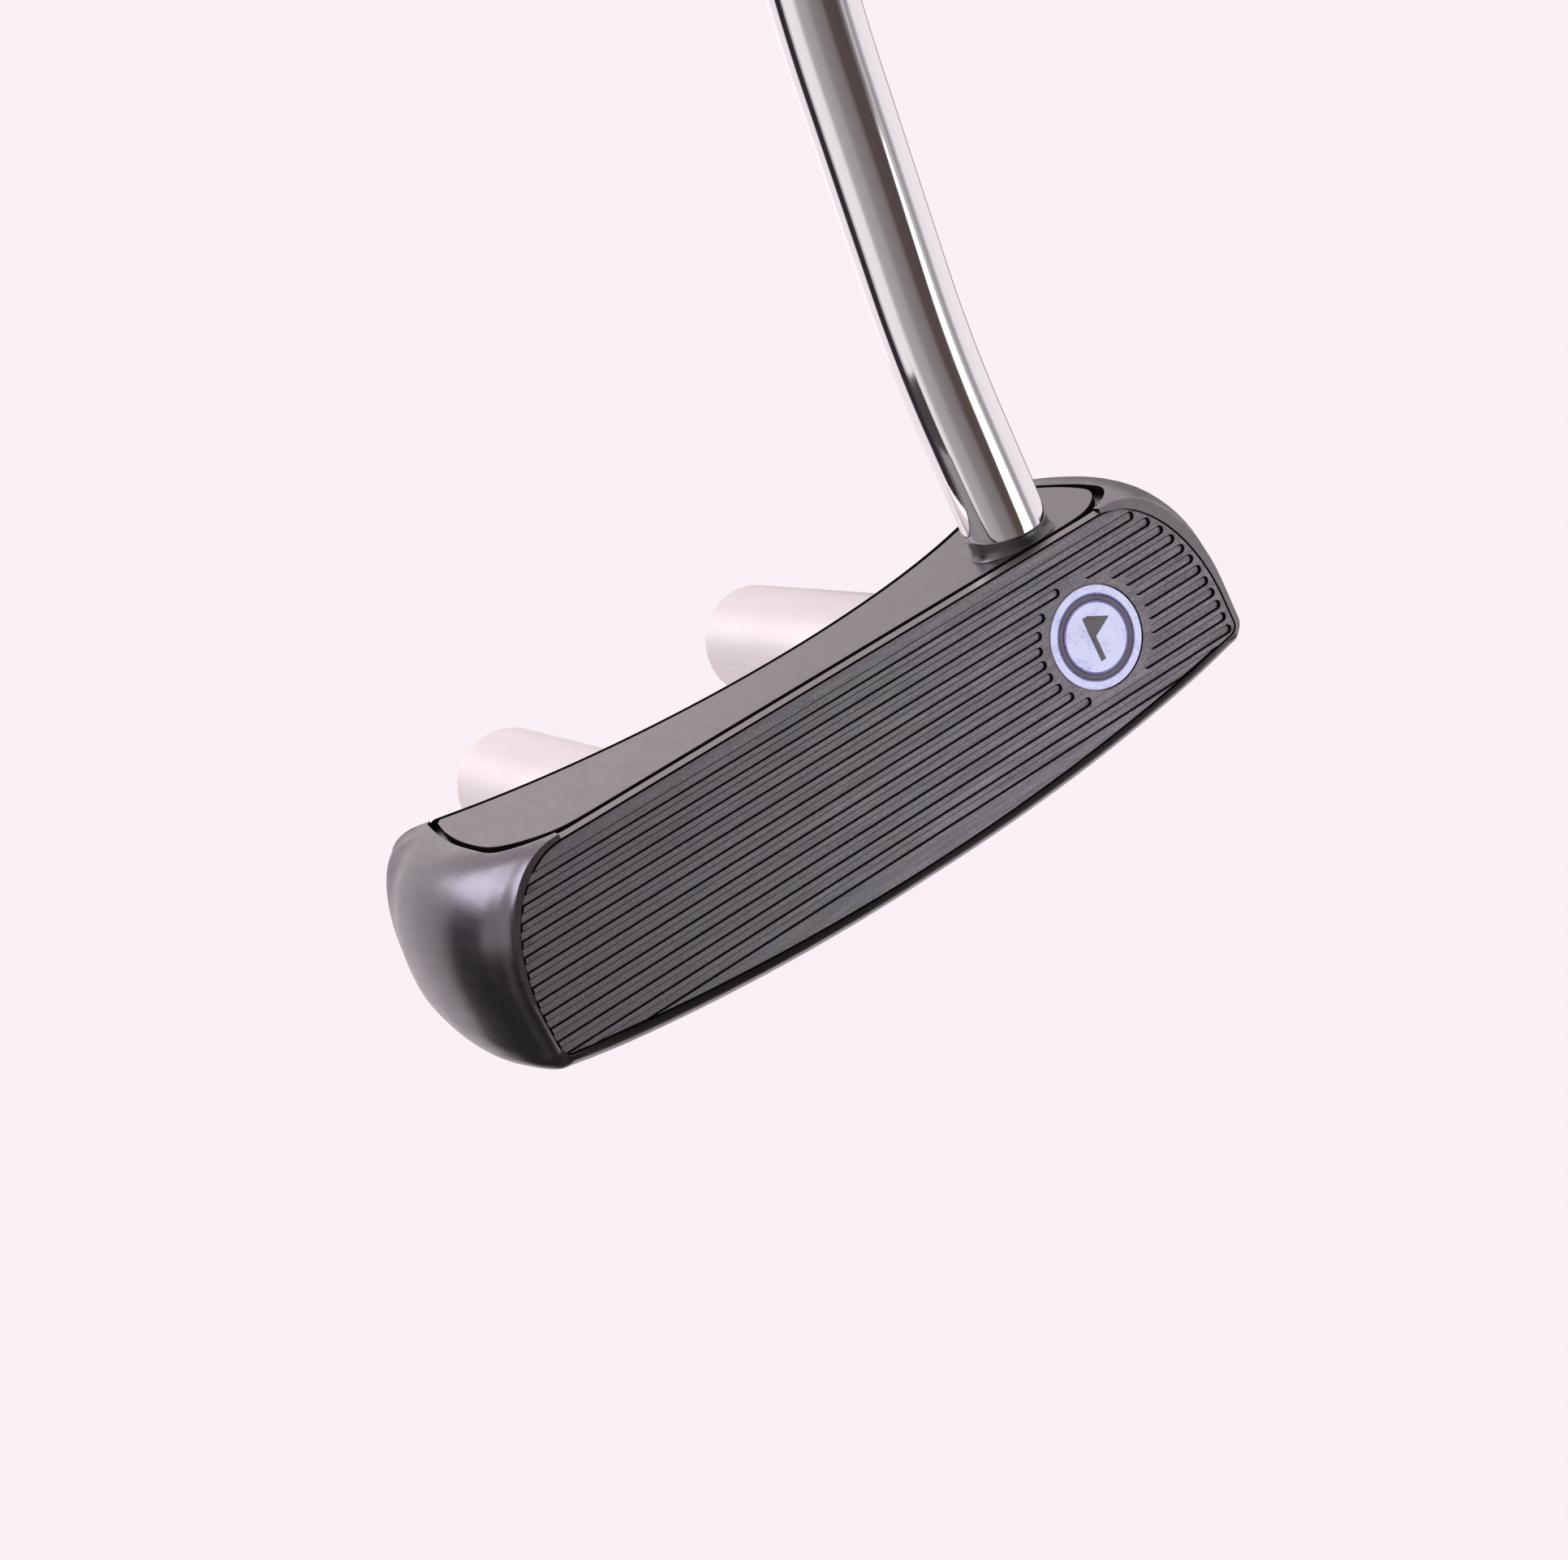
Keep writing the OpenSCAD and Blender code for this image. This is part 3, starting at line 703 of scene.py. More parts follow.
SHAFT_LINE = shaft_line()
UPPER_START = SHAFT_LINE[-1][0]
UPPER_LEN = CLUB_LENGTH - CAP_T - UPPER_START.z / sin(radians(LIE))
STEP_START, STEP_LEN, STEPS = 150 * MM, 27 * MM, 14
STEP_RAMP = 1.6 * MM
LIP_R = 0.28 * MM
END_SLANT = 1.2 * MM


def on_upper(z):
    return UPPER_START + LEAN * z


def at_upper(z=0.0):
    """Local frame whose Z runs up the straight upper shaft, with X down towards the heel."""
    return shift(on_upper(z)) @ Matrix.Rotation(radians(90 - LIE), 4, "Y")


def tube(name, rings):
    """Skins rings of (centre, direction, radius), keeping their seams in line."""
    verts, sides = [], 80
    for centre, along, r in rings:
        x = (Vector((1, 0, 0)) - along * along.x).normalized()
        y = along.cross(x)
        verts += [centre + r * (x * cos(a) + y * sin(a)) for a in full_turn(sides)]
    return solid(name, verts, skin_faces(len(rings), sides))


def make_shaft():
    start, up = SHAFT_LINE[0]
    # Bore, rolled lip and straight tip, as (height above the end, radius) rings
    tip = [(2 * MM, SHAFT_R - 0.5 * MM), (0.1 * MM, SHAFT_R - 0.5 * MM),
           (0, SHAFT_R - 0.42 * MM), (0, SHAFT_R - 0.3 * MM)]
    for a in (radians(15 * i) for i in range(7)):
        tip.append((LIP_R * (1 - cos(a)), SHAFT_R - LIP_R * (1 - sin(a))))
    tip += [(rise * MM, SHAFT_R) for rise in (0.8, 1.6, 2.6, 3.6, 5.0)]
    rings = [(start + up * rise, up, r) for rise, r in tip]
    rings += [(p, d, SHAFT_R) for p, d in SHAFT_LINE[1:]]
    z = 30 * MM
    while z < STEP_START - 5 * MM:
        rings.append((on_upper(z), LEAN, SHAFT_R))
        z += 30 * MM
    step_r = (BUTT_R - SHAFT_R) / STEPS
    for i in range(STEPS):
        at = STEP_START + i * STEP_LEN
        for t in (k / 6 for k in range(7)):
            r = SHAFT_R + step_r * (i + t * t * (3 - 2 * t))
            rings.append((on_upper(at + STEP_RAMP * t), LEAN, r))
    rings.append((on_upper(UPPER_LEN - 1 * MM), LEAN, BUTT_R))
    shaft = tube("shaft_tube", rings)
    # The cut end slants: it is lowest in front
    for vert in shaft.data.vertices:
        fade = max(0.0, 1 - (vert.co.z - start.z) / (4 * MM))
        if fade > 0:
            vert.co.z += END_SLANT / SHAFT_R * fade * (vert.co.y - start.y)
    return smooth(shaft, 50)


# ---- Grip ----

GRIP_START = UPPER_LEN - GRIP_LEN
GRIP_MID = 0.45 * GRIP_LEN
GRIP_MID_W = 0.86 * GRIP_W
GRIP_SHRINK = 0.997


def grip_radius(a, w):
    """Distance from the shaft's axis to the skin at angle a of a grip of width w."""
    cx, r = 0.06 * w, w / 2
    ca, sa = cos(a), sin(a)
    reach = cx * ca + sqrt(r * r - (cx * sa) ** 2)
    if ca < -0.2:
        flat = 0.36 * w / -ca
        k = 12
        reach = (reach ** -k + flat ** -k) ** (-1 / k)
    return reach


def make_grip():
    sides = 120
    place = at_upper()
    # Stations up the grip, as (height, extra radius) in mm
    stations = [(0.0, -1.2), (0.3, -0.5), (1.0, 0.0)]
    stations += [(s, 0.0) for s in (4, 8, 14, 22, 34, 48, 62, 76, 90, 104, 119.7)]
    stations += [(119.7 + (259 - 119.7) * i / 12, 0.0) for i in range(1, 13)]
    stations += [(262.0, 0.0), (263.2, -0.05), (264.2, -0.25), (265.0, -0.65), (265.5, -1.3)]
    verts = []
    for s, extra in stations:
        z = s * MM
        for a in full_turn(sides):
            if z <= GRIP_MID:
                t = z / GRIP_MID
                r = GRIP_TIP_D / 2 * (1 - t) + grip_radius(a, GRIP_MID_W) * t
            else:
                t = (z - GRIP_MID) / (GRIP_LEN - GRIP_MID)
                r = grip_radius(a, GRIP_MID_W + (GRIP_W - GRIP_MID_W) * t)
            r = r * GRIP_SHRINK + extra * MM
            verts.append(place @ Vector((r * cos(a), r * sin(a), GRIP_START + z)))
    return smooth(solid("grip_skin", verts, skin_faces(len(stations), sides)), 40)


def make_cap():
    r, groove, edge = GRIP_W * 0.4, 0.35 * MM, 1.1 * MM
    profile = [(0, -2 * MM), (r, -2 * MM), (r, 1.9 * MM)] + round_edge(r, 1.9 * MM, edge)
    profile += [(r * 0.62, CAP_T), (r * 0.6, CAP_T - groove), (r * 0.53, CAP_T - groove),
                (r * 0.51, CAP_T), (1.3 * MM, CAP_T), (1.0 * MM, CAP_T - 0.3 * MM),
                (1.0 * MM, -1 * MM), (0, -1 * MM)]
    return smooth(lathe("grip_end_cap", profile, at_upper(UPPER_LEN), 72), 35)


# ---- Post, bars and weights ----

COLLAR_R = 4.55 * MM
STUD_R, STUD_LEN = 3.38 * MM, 10 * MM
SPIGOT_R, SPIGOT_TOP = 4.1 * MM, 11 * MM
BAR_EDGE = 0.6 * MM
SEAT_R, SEAT_DEPTH = 6.15 * MM, 4.2 * MM
THREAD_HOLE_R, THREAD_HOLE_DEPTH = 5.05 * MM, 17.2 * MM

# Weight plug, with heights below the top of its head
PLUG_SINK = 0.3 * MM
HEAD_R, HEAD_T = 6.05 * MM, 2.3 * MM
NECK_R, NECK_T = 4.7 * MM, 2 * MM
KEY_R, KEY_DEPTH = 2.9 * MM, 3.0 * MM
THREAD_CREST, THREAD_ROOT, THREAD_PITCH = 4.95 * MM, 4.35 * MM, 1.25 * MM
THREAD_TURNS = 9
SHANK_LEN = 12 * MM
SEAL_R, SEAL_CORD_R, SEAL_DROP = 5.4 * MM, 0.55 * MM, 0.7 * MM


def make_post():
    """The collar that shows between the crown and the shaft, with its stud and spigot."""
    gap = SHAFT_START_Z - CROWN_Z
    top = gap - 0.03 * MM
    profile = [(0, -STUD_LEN), (STUD_R, -STUD_LEN), (STUD_R, 0), (COLLAR_R + 0.35 * MM, 0),
               (COLLAR_R + 0.12 * MM, 0.35 * MM), (COLLAR_R, 0.9 * MM),
               (COLLAR_R, gap - 0.15 * MM), (COLLAR_R - 0.12 * MM, top), (SPIGOT_R, top),
               (SPIGOT_R, SPIGOT_TOP), (0, SPIGOT_TOP)]
    return smooth(lathe("hosel_collar", profile, at_post(CROWN_Z)), 40)


def make_bar(end):
    length = BAR_REAR_Y - BAR_FRONT_Y
    seat, bottom = length - SEAT_DEPTH, length - THREAD_HOLE_DEPTH
    profile = [(0, 0), (BAR_R, 0), (BAR_R, length - BAR_EDGE)]
    profile += round_edge(BAR_R, length - BAR_EDGE, BAR_EDGE)
    profile += [(SEAT_R + 0.15 * MM, length), (SEAT_R, length - 0.15 * MM), (SEAT_R, seat),
                (THREAD_HOLE_R, seat), (THREAD_HOLE_R, bottom), (0, bottom)]
    return smooth(lathe(end + "_bar_tube", profile, in_bar(end, BAR_FRONT_Y), 128), 40)


def make_thread(name, low, place):
    """Helical ridge of the thread, from height low upwards."""
    sides = 48
    steps = sides * THREAD_TURNS
    foot = THREAD_ROOT - 0.1 * MM
    ridge = [(-0.46, foot), (-0.08, THREAD_CREST), (0.08, THREAD_CREST), (0.46, foot)]
    verts, faces = [], []
    for i in range(steps + 1):
        a = tau * i / sides
        rise = low + 0.35 * MM + THREAD_PITCH * i / sides
        for dz, r in ridge:
            verts.append(place @ Vector((r * cos(a), r * sin(a),
                                         rise + dz * THREAD_PITCH)))
    for i in range(steps):
        for k in range(4):
            j = (k + 1) % 4
            faces.append((i * 4 + k, (i + 1) * 4 + k, (i + 1) * 4 + j, i * 4 + j))
    faces += [(0, 1, 2, 3), tuple(steps * 4 + k for k in range(4))]
    return smooth(solid(name, verts, faces), 25)


def make_weight(end):
    """Plug in the bar's rear end: rounded head with a hexagon socket, neck and thread."""
    place = in_bar(end, BAR_REAR_Y - PLUG_SINK)
    neck_low = -HEAD_T - NECK_T
    head = [(0, neck_low), (NECK_R, neck_low), (NECK_R, -HEAD_T), (HEAD_R, -HEAD_T),
            (HEAD_R, -0.5 * MM), (5.93 * MM, -0.18 * MM), (5.6 * MM, 0), (4.6 * MM, 0),
            (4.45 * MM, -0.12 * MM), (4.15 * MM, -0.12 * MM), (4.0 * MM, 0), (0, 0)]
    plug = lathe(end + "_weight_plug", head, place)
    cut(plug, prism("key_cutter", circle(0, 0, KEY_R, 6), -KEY_DEPTH, 1 * MM, place))
    bevel(plug, 0.12 * MM, angle=45)
    smooth(plug, 35)
    # Shank and thread, seen when the plug is drawn
    low, high = -HEAD_T - 1.4 * MM - SHANK_LEN, -3.9 * MM
    core = [(0, low), (THREAD_ROOT, low), (THREAD_ROOT, high), (0, high)]
    shank = smooth(lathe(end + "_weight_core", core, place, 48), 40)
    return plug, shank, make_thread(end + "_weight_thread", low, place)


def make_ring(end):
    ring_y = BAR_REAR_Y - PLUG_SINK - HEAD_T - SEAL_DROP
    profile = circle(SEAL_R, 0, SEAL_CORD_R, 24)
    ring = lathe(end + "_weight_seal", profile + profile[:1], in_bar(end, ring_y), 72)
    return smooth(ring, 60)


# ---- Finishes ----

def scaled(colour, factor, lift=0.0):
    return tuple(c * factor + lift for c in colour)


class Finish:
    """A material built round one Principled shader, with short ways to add nodes that vary it."""

    def __init__(self, name, colour, metallic, roughness, **settings):
        self.mat = bpy.data.materials.new(name)
        self.mat.use_nodes = True
        self.mat.diffuse_color = (*colour, 1)
        self.tree = self.mat.node_tree
        self.link = self.tree.links.new
        self.shader = self.tree.nodes["Principled BSDF"]
        settings = dict(settings, Base_Color=(*colour, 1), Metallic=metallic, Roughness=roughness)
        for key, value in settings.items():
            self.shader.inputs[key.replace("_", " ")].default_value = value
        self.place = self.tree.nodes.new("ShaderNodeTexCoord").outputs["Object"]

    def add(self, kind, inputs=(), **values):
        node = self.tree.nodes.new(kind)
        for key, value in values.items():
            setattr(node, key, value)
        for key, value in dict(inputs).items():
            if isinstance(value, bpy.types.NodeSocket):
                self.link(value, node.inputs[key])
            else:
                node.inputs[key].default_value = value
        return node

    def stretched(self, scale, turn=(0, 0, 0), move=(0, 0, 0)):
        """The object's own coordinates, turned, moved and scaled."""
        turn = tuple(radians(a) for a in turn)
        inputs = {"Vector": self.place, "Scale": scale, "Rotation": turn, "Location": move}
        return self.add("ShaderNodeMapping", inputs).outputs["Vector"]

    def noise(self, scale, detail=3.0, rough=0.55, place=None):
        inputs = {"Vector": place or self.place, "Scale": scale, "Detail": detail,
                  "Roughness": rough}
        return self.add("ShaderNodeTexNoise", inputs).outputs["Fac"]

    def span(self, value, low, high, from_low=0.0, from_high=1.0):
        """Maps a value onto the range low to high."""
        inputs = {"Value": value, "From Min": from_low, "From Max": from_high,
                  "To Min": low, "To Max": high}
        return self.add("ShaderNodeMapRange", inputs).outputs["Result"]

    def mask(self, value, most, start, full):
        """A factor that climbs from 0 to most as a value goes from start to full."""
        return self.span(value, 0, most, start, full)

    def mix(self, factor, a, b):
        node = self.add("ShaderNodeMix", data_type="RGBA")
        self.link(factor, node.inputs["Factor"])
        for socket, value in ((node.inputs[6], a), (node.inputs[7], b)):
            if isinstance(value, bpy.types.NodeSocket):
                self.link(value, socket)
            else:
                socket.default_value = (*value, 1)
        return node.outputs[2]

    def math(self, operation, a, b):
        return self.add("ShaderNodeMath", {0: a, 1: b}, operation=operation).outputs[0]

    def blend(self, a, part, b):
        """A part of value a, and the rest from value b."""
        return self.math("ADD", self.math("MULTIPLY", a, part), self.math("MULTIPLY", b, 1 - part))

    def specks(self, scale, size):
        """1 in small scattered specks, 0 elsewhere."""
        cells = self.add("ShaderNodeTexVoronoi", {"Vector": self.place, "Scale": scale})
        near = self.span(cells.outputs["Distance"], 1.0, 0.0, size * 0.6, size)
        pick = self.add("ShaderNodeSeparateColor", {"Color": cells.outputs["Color"]})
        rare = self.span(pick.outputs["Red"], 0.0, 1.0, 0.80, 0.82)
        return self.math("MULTIPLY", near, rare)

    def colour(self, socket):
        self.link(socket, self.shader.inputs["Base Color"])

    def roughness(self, socket):
        self.link(socket, self.shader.inputs["Roughness"])

    def bump(self, height, distance, strength):
        inputs = {"Height": height, "Distance": distance, "Strength": strength}
        node = self.add("ShaderNodeBump", inputs)
        self.link(node.outputs["Normal"], self.shader.inputs["Normal"])


def dark_satin(name, colour, rough, chips=False):
    """Bead-blasted black metal: fine grain, cloudy sheen and, if asked, a few pale chips."""
    f = Finish(name, colour, 1.0, rough)
    cloud = f.noise(60, 4)
    grain = f.noise(5200, 2)
    rub = f.noise(900, 3, 0.6, f.stretched((1, 0.25, 1)))
    f.roughness(f.span(f.blend(cloud, 0.6, rub), rough - 0.05, rough + 0.06, 0.3, 0.7))
    shade = f.mix(f.mask(cloud, 1, 0.3, 0.7), scaled(colour, 0.9), scaled(colour, 1.1))
    if chips:
        shade = f.mix(f.specks(190, 0.035), shade, (0.75, 0.73, 0.72))
    f.colour(shade)
    f.bump(grain, 0.00001, 0.25)
    return f.mat


def face_steel():
    """Grey face: milled grain along the slots, lilac clouding, painted shade darker towards the
    heel, fine speckle and bright specks.
    """
    f = Finish("face_metal", (0.35, 0.335, 0.37), 1.0, 0.42)
    along = f.noise(2600, 3, 0.6, f.stretched((0.05, 1, 1)))
    cloud = f.noise(45, 3)
    warm = f.noise(160, 4, 0.6, f.stretched((0.5, 1, 1), move=(0.3, 0, 0)))
    blue = f.noise(330, 3)
    painted_shade_x = f.add("ShaderNodeSeparateXYZ", {"Vector": f.place}).outputs["X"]
    pale_grain = f.noise(3600, 2)
    dark_grain = f.noise(4300, 2, 0.5, f.stretched((1, 1, 1), move=(0.1, 0, 0)))
    shade = f.mix(f.mask(cloud, 1, 0.35, 0.65), (0.325, 0.32, 0.345), (0.375, 0.338, 0.40))
    shade = f.mix(f.mask(warm, 0.6, 0.45, 0.72), shade, (0.395, 0.32, 0.35))
    shade = f.mix(f.mask(blue, 0.5, 0.50, 0.72), shade, (0.28, 0.30, 0.38))
    # Painted shade: the face turns darker towards the heel
    shade = f.mix(f.mask(painted_shade_x, 1, 0.0, 0.06), shade, (0.25, 0.225, 0.255))
    shade = f.mix(f.mask(pale_grain, 0.55, 0.42, 0.68), shade, (0.50, 0.475, 0.52))
    shade = f.mix(f.mask(dark_grain, 0.5, 0.5, 0.75), shade, (0.20, 0.18, 0.20))
    f.colour(f.mix(f.specks(1000, 0.085), shade, (0.85, 0.84, 0.84)))
    f.roughness(f.span(along, 0.36, 0.50, 0.3, 0.7))
    f.bump(f.math("ADD", along, f.noise(6000, 2)), 0.00001, 0.45)
    return f.mat


def painted_recess_shade():
    """Painted shade for the walls of slots and recesses: near black, with a little dust."""
    f = Finish("painted_recess_shade", (0.010, 0.008, 0.010), 0.0, 0.8, Specular_IOR_Level=0.05)
    dust = f.mask(f.noise(1400, 3), 0.6, 0.45, 0.8)
    f.colour(f.mix(dust, (0.004, 0.003, 0.004), (0.025, 0.022, 0.025)))
    f.bump(f.noise(4000, 2), 0.00001, 0.4)
    return f.mat


def satin_metal(name, colour, rough, turn=(0, 0, 0)):
    """Turned or brushed bright metal: fine lines across the local Z axis after the turn."""
    f = Finish(name, colour, 1.0, rough)
    lines = f.noise(2400, 3, 0.65, f.stretched((0.02, 0.02, 1), turn))
    cloud = f.noise(70, 3)
    f.roughness(f.span(f.blend(lines, 0.5, cloud), rough - 0.05, rough + 0.06, 0.35, 0.65))
    f.colour(f.mix(f.mask(cloud, 1, 0.35, 0.65), scaled(colour, 0.95), colour))
    f.bump(lines, 0.000006, 0.35)
    return f.mat


def chrome():
    """Plated steel: bright, with faint haze, hairline polish marks and dust."""
    plate = (0.87, 0.86, 0.865)
    f = Finish("chrome_plate", plate, 1.0, 0.05)
    haze = f.noise(90, 4)
    hair = f.noise(1500, 3, 0.6, f.stretched((1, 1, 0.02)))
    f.roughness(f.span(f.math("MULTIPLY", haze, hair), 0.035, 0.11, 0.1, 0.5))
    f.colour(f.mix(f.specks(500, 0.03), plate, (0.55, 0.53, 0.52)))
    f.bump(f.noise(12, 2), 0.00002, 0.25)
    return f.mat


def enamel(name, pale, dark):
    """Glossy enamel with a grainy, speckled colour."""
    f = Finish(name, pale, 0.0, 0.22, Coat_Weight=0.5, Coat_Roughness=0.08)
    grain = f.noise(3200, 5, 0.75)
    blotch = f.noise(420, 3)
    worn = f.blend(grain, 0.55, blotch)
    f.colour(f.mix(f.mask(worn, 1, 0.36, 0.50), dark, pale))
    f.roughness(f.span(grain, 0.16, 0.34, 0.3, 0.7))
    f.bump(f.noise(900, 3), 0.00001, 0.5)
    return f.mat


def rubber(name, colour, rough, pattern=False):
    """Dark moulded rubber or plastic. The pattern is rows of small pressed marks on the grip."""
    f = Finish(name, colour, 0.0, rough, Specular_IOR_Level=0.35)
    grain = f.noise(3000, 3, 0.65)
    dust = f.noise(35, 4)
    f.colour(f.mix(f.mask(dust, 1, 0.4, 0.7), colour, scaled(colour, 1.5, 0.006)))
    f.roughness(f.span(grain, rough - 0.08, rough + 0.08, 0.3, 0.7))
    if pattern:
        local = f.stretched((1, 1, 1), (0, LIE - 90, 0))
        cells = f.add("ShaderNodeTexVoronoi",
                      {"Vector": local, "Scale": 330.0, "Randomness": 0.0})
        dots = f.span(cells.outputs["Distance"], 1.0, 0.0, 0.25, 0.38)
        f.bump(f.math("ADD", f.math("MULTIPLY", grain, 0.2), dots), 0.00025, 0.6)
    else:
        f.bump(grain, 0.00003, 0.5)
    return f.mat


def paste(name, colour):
    """Adhesive, tape and other hidden films."""
    f = Finish(name, colour, 0.0, 0.6)
    f.colour(f.mix(f.noise(400, 4), scaled(colour, 0.8), colour))
    f.bump(f.noise(1500, 3), 0.00002, 0.5)
    return f.mat


def wear(obj, *mats):
    """Puts the finishes on in order; each polygon keeps its number."""
    slots = obj.data.materials
    for i, mat in enumerate(mats):
        if i < len(slots):
            slots[i] = mat
        else:
            slots.append(mat)


# ---- Pieces on the frame ----

BLACK = dark_satin("black_anodised", (0.17, 0.155, 0.17), 0.27, chips=True)
GREY = dark_satin("grey_anodised", (0.213, 0.193, 0.203), 0.36)
WORN = dark_satin("worn_edge", (0.31, 0.285, 0.28), 0.33)
FACE = face_steel()
# Painted shade for the slots, the plate's recess and the gap round the plate
PAINTED_SHADE = painted_recess_shade()
POST_BLACK = dark_satin("black_steel", (0.15, 0.14, 0.148), 0.30)
BAR = satin_metal("satin_steel", (0.84, 0.795, 0.77), 0.40, (90, 0, 0))
PLUG = satin_metal("weight_steel", (0.62, 0.61, 0.61), 0.28, (90, 0, 0))
SCREW = satin_metal("screw_steel", (0.10, 0.10, 0.11), 0.35)
CHROME = chrome()
PALE = enamel("enamel_pale", (0.66, 0.73, 0.98), (0.38, 0.44, 0.74))
DARK = enamel("enamel_dark", (0.07, 0.065, 0.085), (0.02, 0.02, 0.03))
VIOLET = enamel("enamel_violet", (0.12, 0.11, 0.36), (0.05, 0.05, 0.2))
SEAL = rubber("seal_rubber", (0.012, 0.012, 0.012), 0.5)
GRIP = rubber("grip_rubber", (0.022, 0.022, 0.024), 0.62, pattern=True)
CAP = rubber("cap_plastic", (0.03, 0.03, 0.032), 0.45)
GLUE = paste("adhesive", (0.72, 0.70, 0.60))
TAPE = paste("tape", (0.72, 0.69, 0.60))


def fit(obj, body, node, slot, *mats):
    """Puts a finished piece on its body, in the place of its CAD node if it has one."""
    wear(obj, *mats)
    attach(obj, body)
    if node:
        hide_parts(node)


fit(make_body(), "root", "head_body", "black_anodised", BLACK, PAINTED_SHADE, WORN)
fit(make_plate(), "root", "crown_plate", "grey_anodised", GREY, PAINTED_SHADE)
fit(make_insert(), "root", "face_insert", "face_metal", FACE, PAINTED_SHADE)

# Badge: pale ring and disc, a dark ring between them with thin lines at its edges, and a flag
fit(badge_ring("badge_outer_ring", 0.83, 0.985, -0.02 * MM), "root", "badge_enamel", "enamel",
    PALE)
fit(badge_ring("badge_disc", 0, 0.66, -0.02 * MM), "root", None, "enamel", PALE)
fit(badge_ring("badge_dark_ring", 0.70, 0.80, -0.10 * MM), "root", None, "enamel", DARK)
for name, inner, outer in (("badge_line_outer", 0.802, 0.828), ("badge_line_inner", 0.662, 0.698)):
    line = badge_ring(name, inner, outer, -0.04 * MM, edge=0.02 * MM)
    fit(line, "root", None, "enamel", VIOLET)
fit(badge_flag(), "root", None, "enamel", DARK)

fit(make_shaft(), "root", "shaft", "chrome_plate", CHROME)
fit(make_grip(), "root", "grip", "grip_rubber", GRIP)
fit(make_cap(), "root", "grip_cap", "cap_plastic", CAP)
fit(make_post(), "root", "hosel_post", "black_steel", POST_BLACK)
for end in SIDES:
    fit(make_bar(end), "root", end + "_bar", "satin_steel", BAR)
    plug, shank, thread = make_weight(end)
    fit(plug, end + "_plug", end + "_weight", "weight_steel", PLUG)
    fit(shank, end + "_plug", None, "weight_steel", PLUG)
    fit(thread, end + "_plug", None, "weight_steel", PLUG)
    fit(make_ring(end), end + "_seal", end + "_weight_ring", "seal_rubber", SEAL)

# CAD pieces that stay, most of them hidden inside
KEPT = {"crown_bond": GLUE, "insert_bond": GLUE, "shaft_bond": GLUE, "grip_tape": TAPE,
        "hosel_screw": SCREW, "toe_bar_screw": SCREW, "heel_bar_screw": SCREW}
for name, mat in KEPT.items():
    wear(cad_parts[name], mat)


# ---- Studio ----

ROOM = (0.955, 0.870, 0.925)
FLOOR_Z = -0.4
FLOOR_HALF = 30


def glow(name, colour, strength=1.0):
    mat = bpy.data.materials.new(name)
    mat.use_nodes = True
    nodes, links = mat.node_tree.nodes, mat.node_tree.links
    nodes.clear()
    emit = nodes.new("ShaderNodeEmission")
    emit.inputs["Color"].default_value = (*colour, 1)
    emit.inputs["Strength"].default_value = strength
    output = nodes.new("ShaderNodeOutputMaterial")
    links.new(emit.outputs["Emission"], output.inputs["Surface"])
    return mat


def stage_card(obj, mat):
    """A photographer's card: it shows in reflections and nowhere else."""
    obj.data.materials.append(mat)
    for ray in ("camera", "diffuse", "shadow", "transmission", "volume_scatter"):
        setattr(obj, "visible_" + ray, False)


# Curved screen in front of the head: colours at angles to the right of the viewer
SCREEN_R = 0.8
SCREEN_LOW, SCREEN_HIGH = -0.39, 1.1
VIEWER = degrees(atan2(-0.942, -0.334))
SCREEN = [(-124, 0.95, 0.90, 0.93), (-119, 0.80, 0.75, 0.78), (-116, 0.03, 0.025, 0.035),
          (-99, 0.03, 0.025, 0.035), (-95, 0.45, 0.42, 0.45), (-88, 0.92, 0.87, 0.90),
          (-62, 0.88, 0.83, 0.86), (-52, 0.45, 0.42, 0.44), (-30, 0.38, 0.35, 0.37),
          (-18, 0.26, 0.235, 0.245), (6, 0.21, 0.175, 0.18), (16, 0.10, 0.075, 0.07),
          (44, 0.085, 0.065, 0.06), (53, 0.18, 0.16, 0.16), (62, 0.62, 0.60, 0.62),
          (66, 0.35, 0.32, 0.34), (74, 0.40, 0.37, 0.40), (82, 0.88, 0.83, 0.88),
          (110, 0.95, 0.90, 0.93)]

# Bright strip in front of the screen: heights, each with the angles of its two ends
STRIP_R = 0.78
STRIP = [(-0.33, (31, 62)), (-0.17, (33, 61)), (-0.10, (40, 58)), (-0.02, (49, 56))]

# The dark card under the club
UNDER_PLAN = [(-0.72, -0.75), (0.7, -0.75), (0.7, -0.03), (0.4, 0.3), (-0.28, 0.3), (-0.28, 0.6),
              (-0.72, 0.6)]
UNDER_LOW, UNDER_HIGH = -0.385, -0.38

# Flat cards that face the head, as place, width, height and colour: a lamp over the toe, a dark
# flag low beside it, and a grey card and a pale one behind the head
FLAT_CARDS = {
    "gloss_lamp": ((-0.36, 0.35, 0.39), 0.36, 0.24, (3.9, 3.8, 4.3)),
    "gloss_flag": ((-0.123, 0.030, -0.02), 0.078, 0.10, (0.065, 0.06, 0.06)),
    "gloss_grey": ((0.47, 0.58, -0.11), 0.34, 0.50, (0.28, 0.26, 0.265)),
    "gloss_pale": ((0.05, 0.72, 0.14), 0.38, 0.40, (1.14, 1.04, 1.08)),
}


def screen_colour(angle):
    for (a0, *c0), (a1, *c1) in zip(SCREEN, SCREEN[1:]):
        if angle <= a1:
            t = (angle - a0) / (a1 - a0)
            return tuple(p + (q - p) * t for p, q in zip(c0, c1))


def round_post(r, angle, z):
    """A point at radius r round the post, at an angle to the right of the viewer."""
    at = radians(VIEWER + angle)
    return Vector((POST.x, POST.y, 0)) + Vector((r * cos(at), r * sin(at), z))


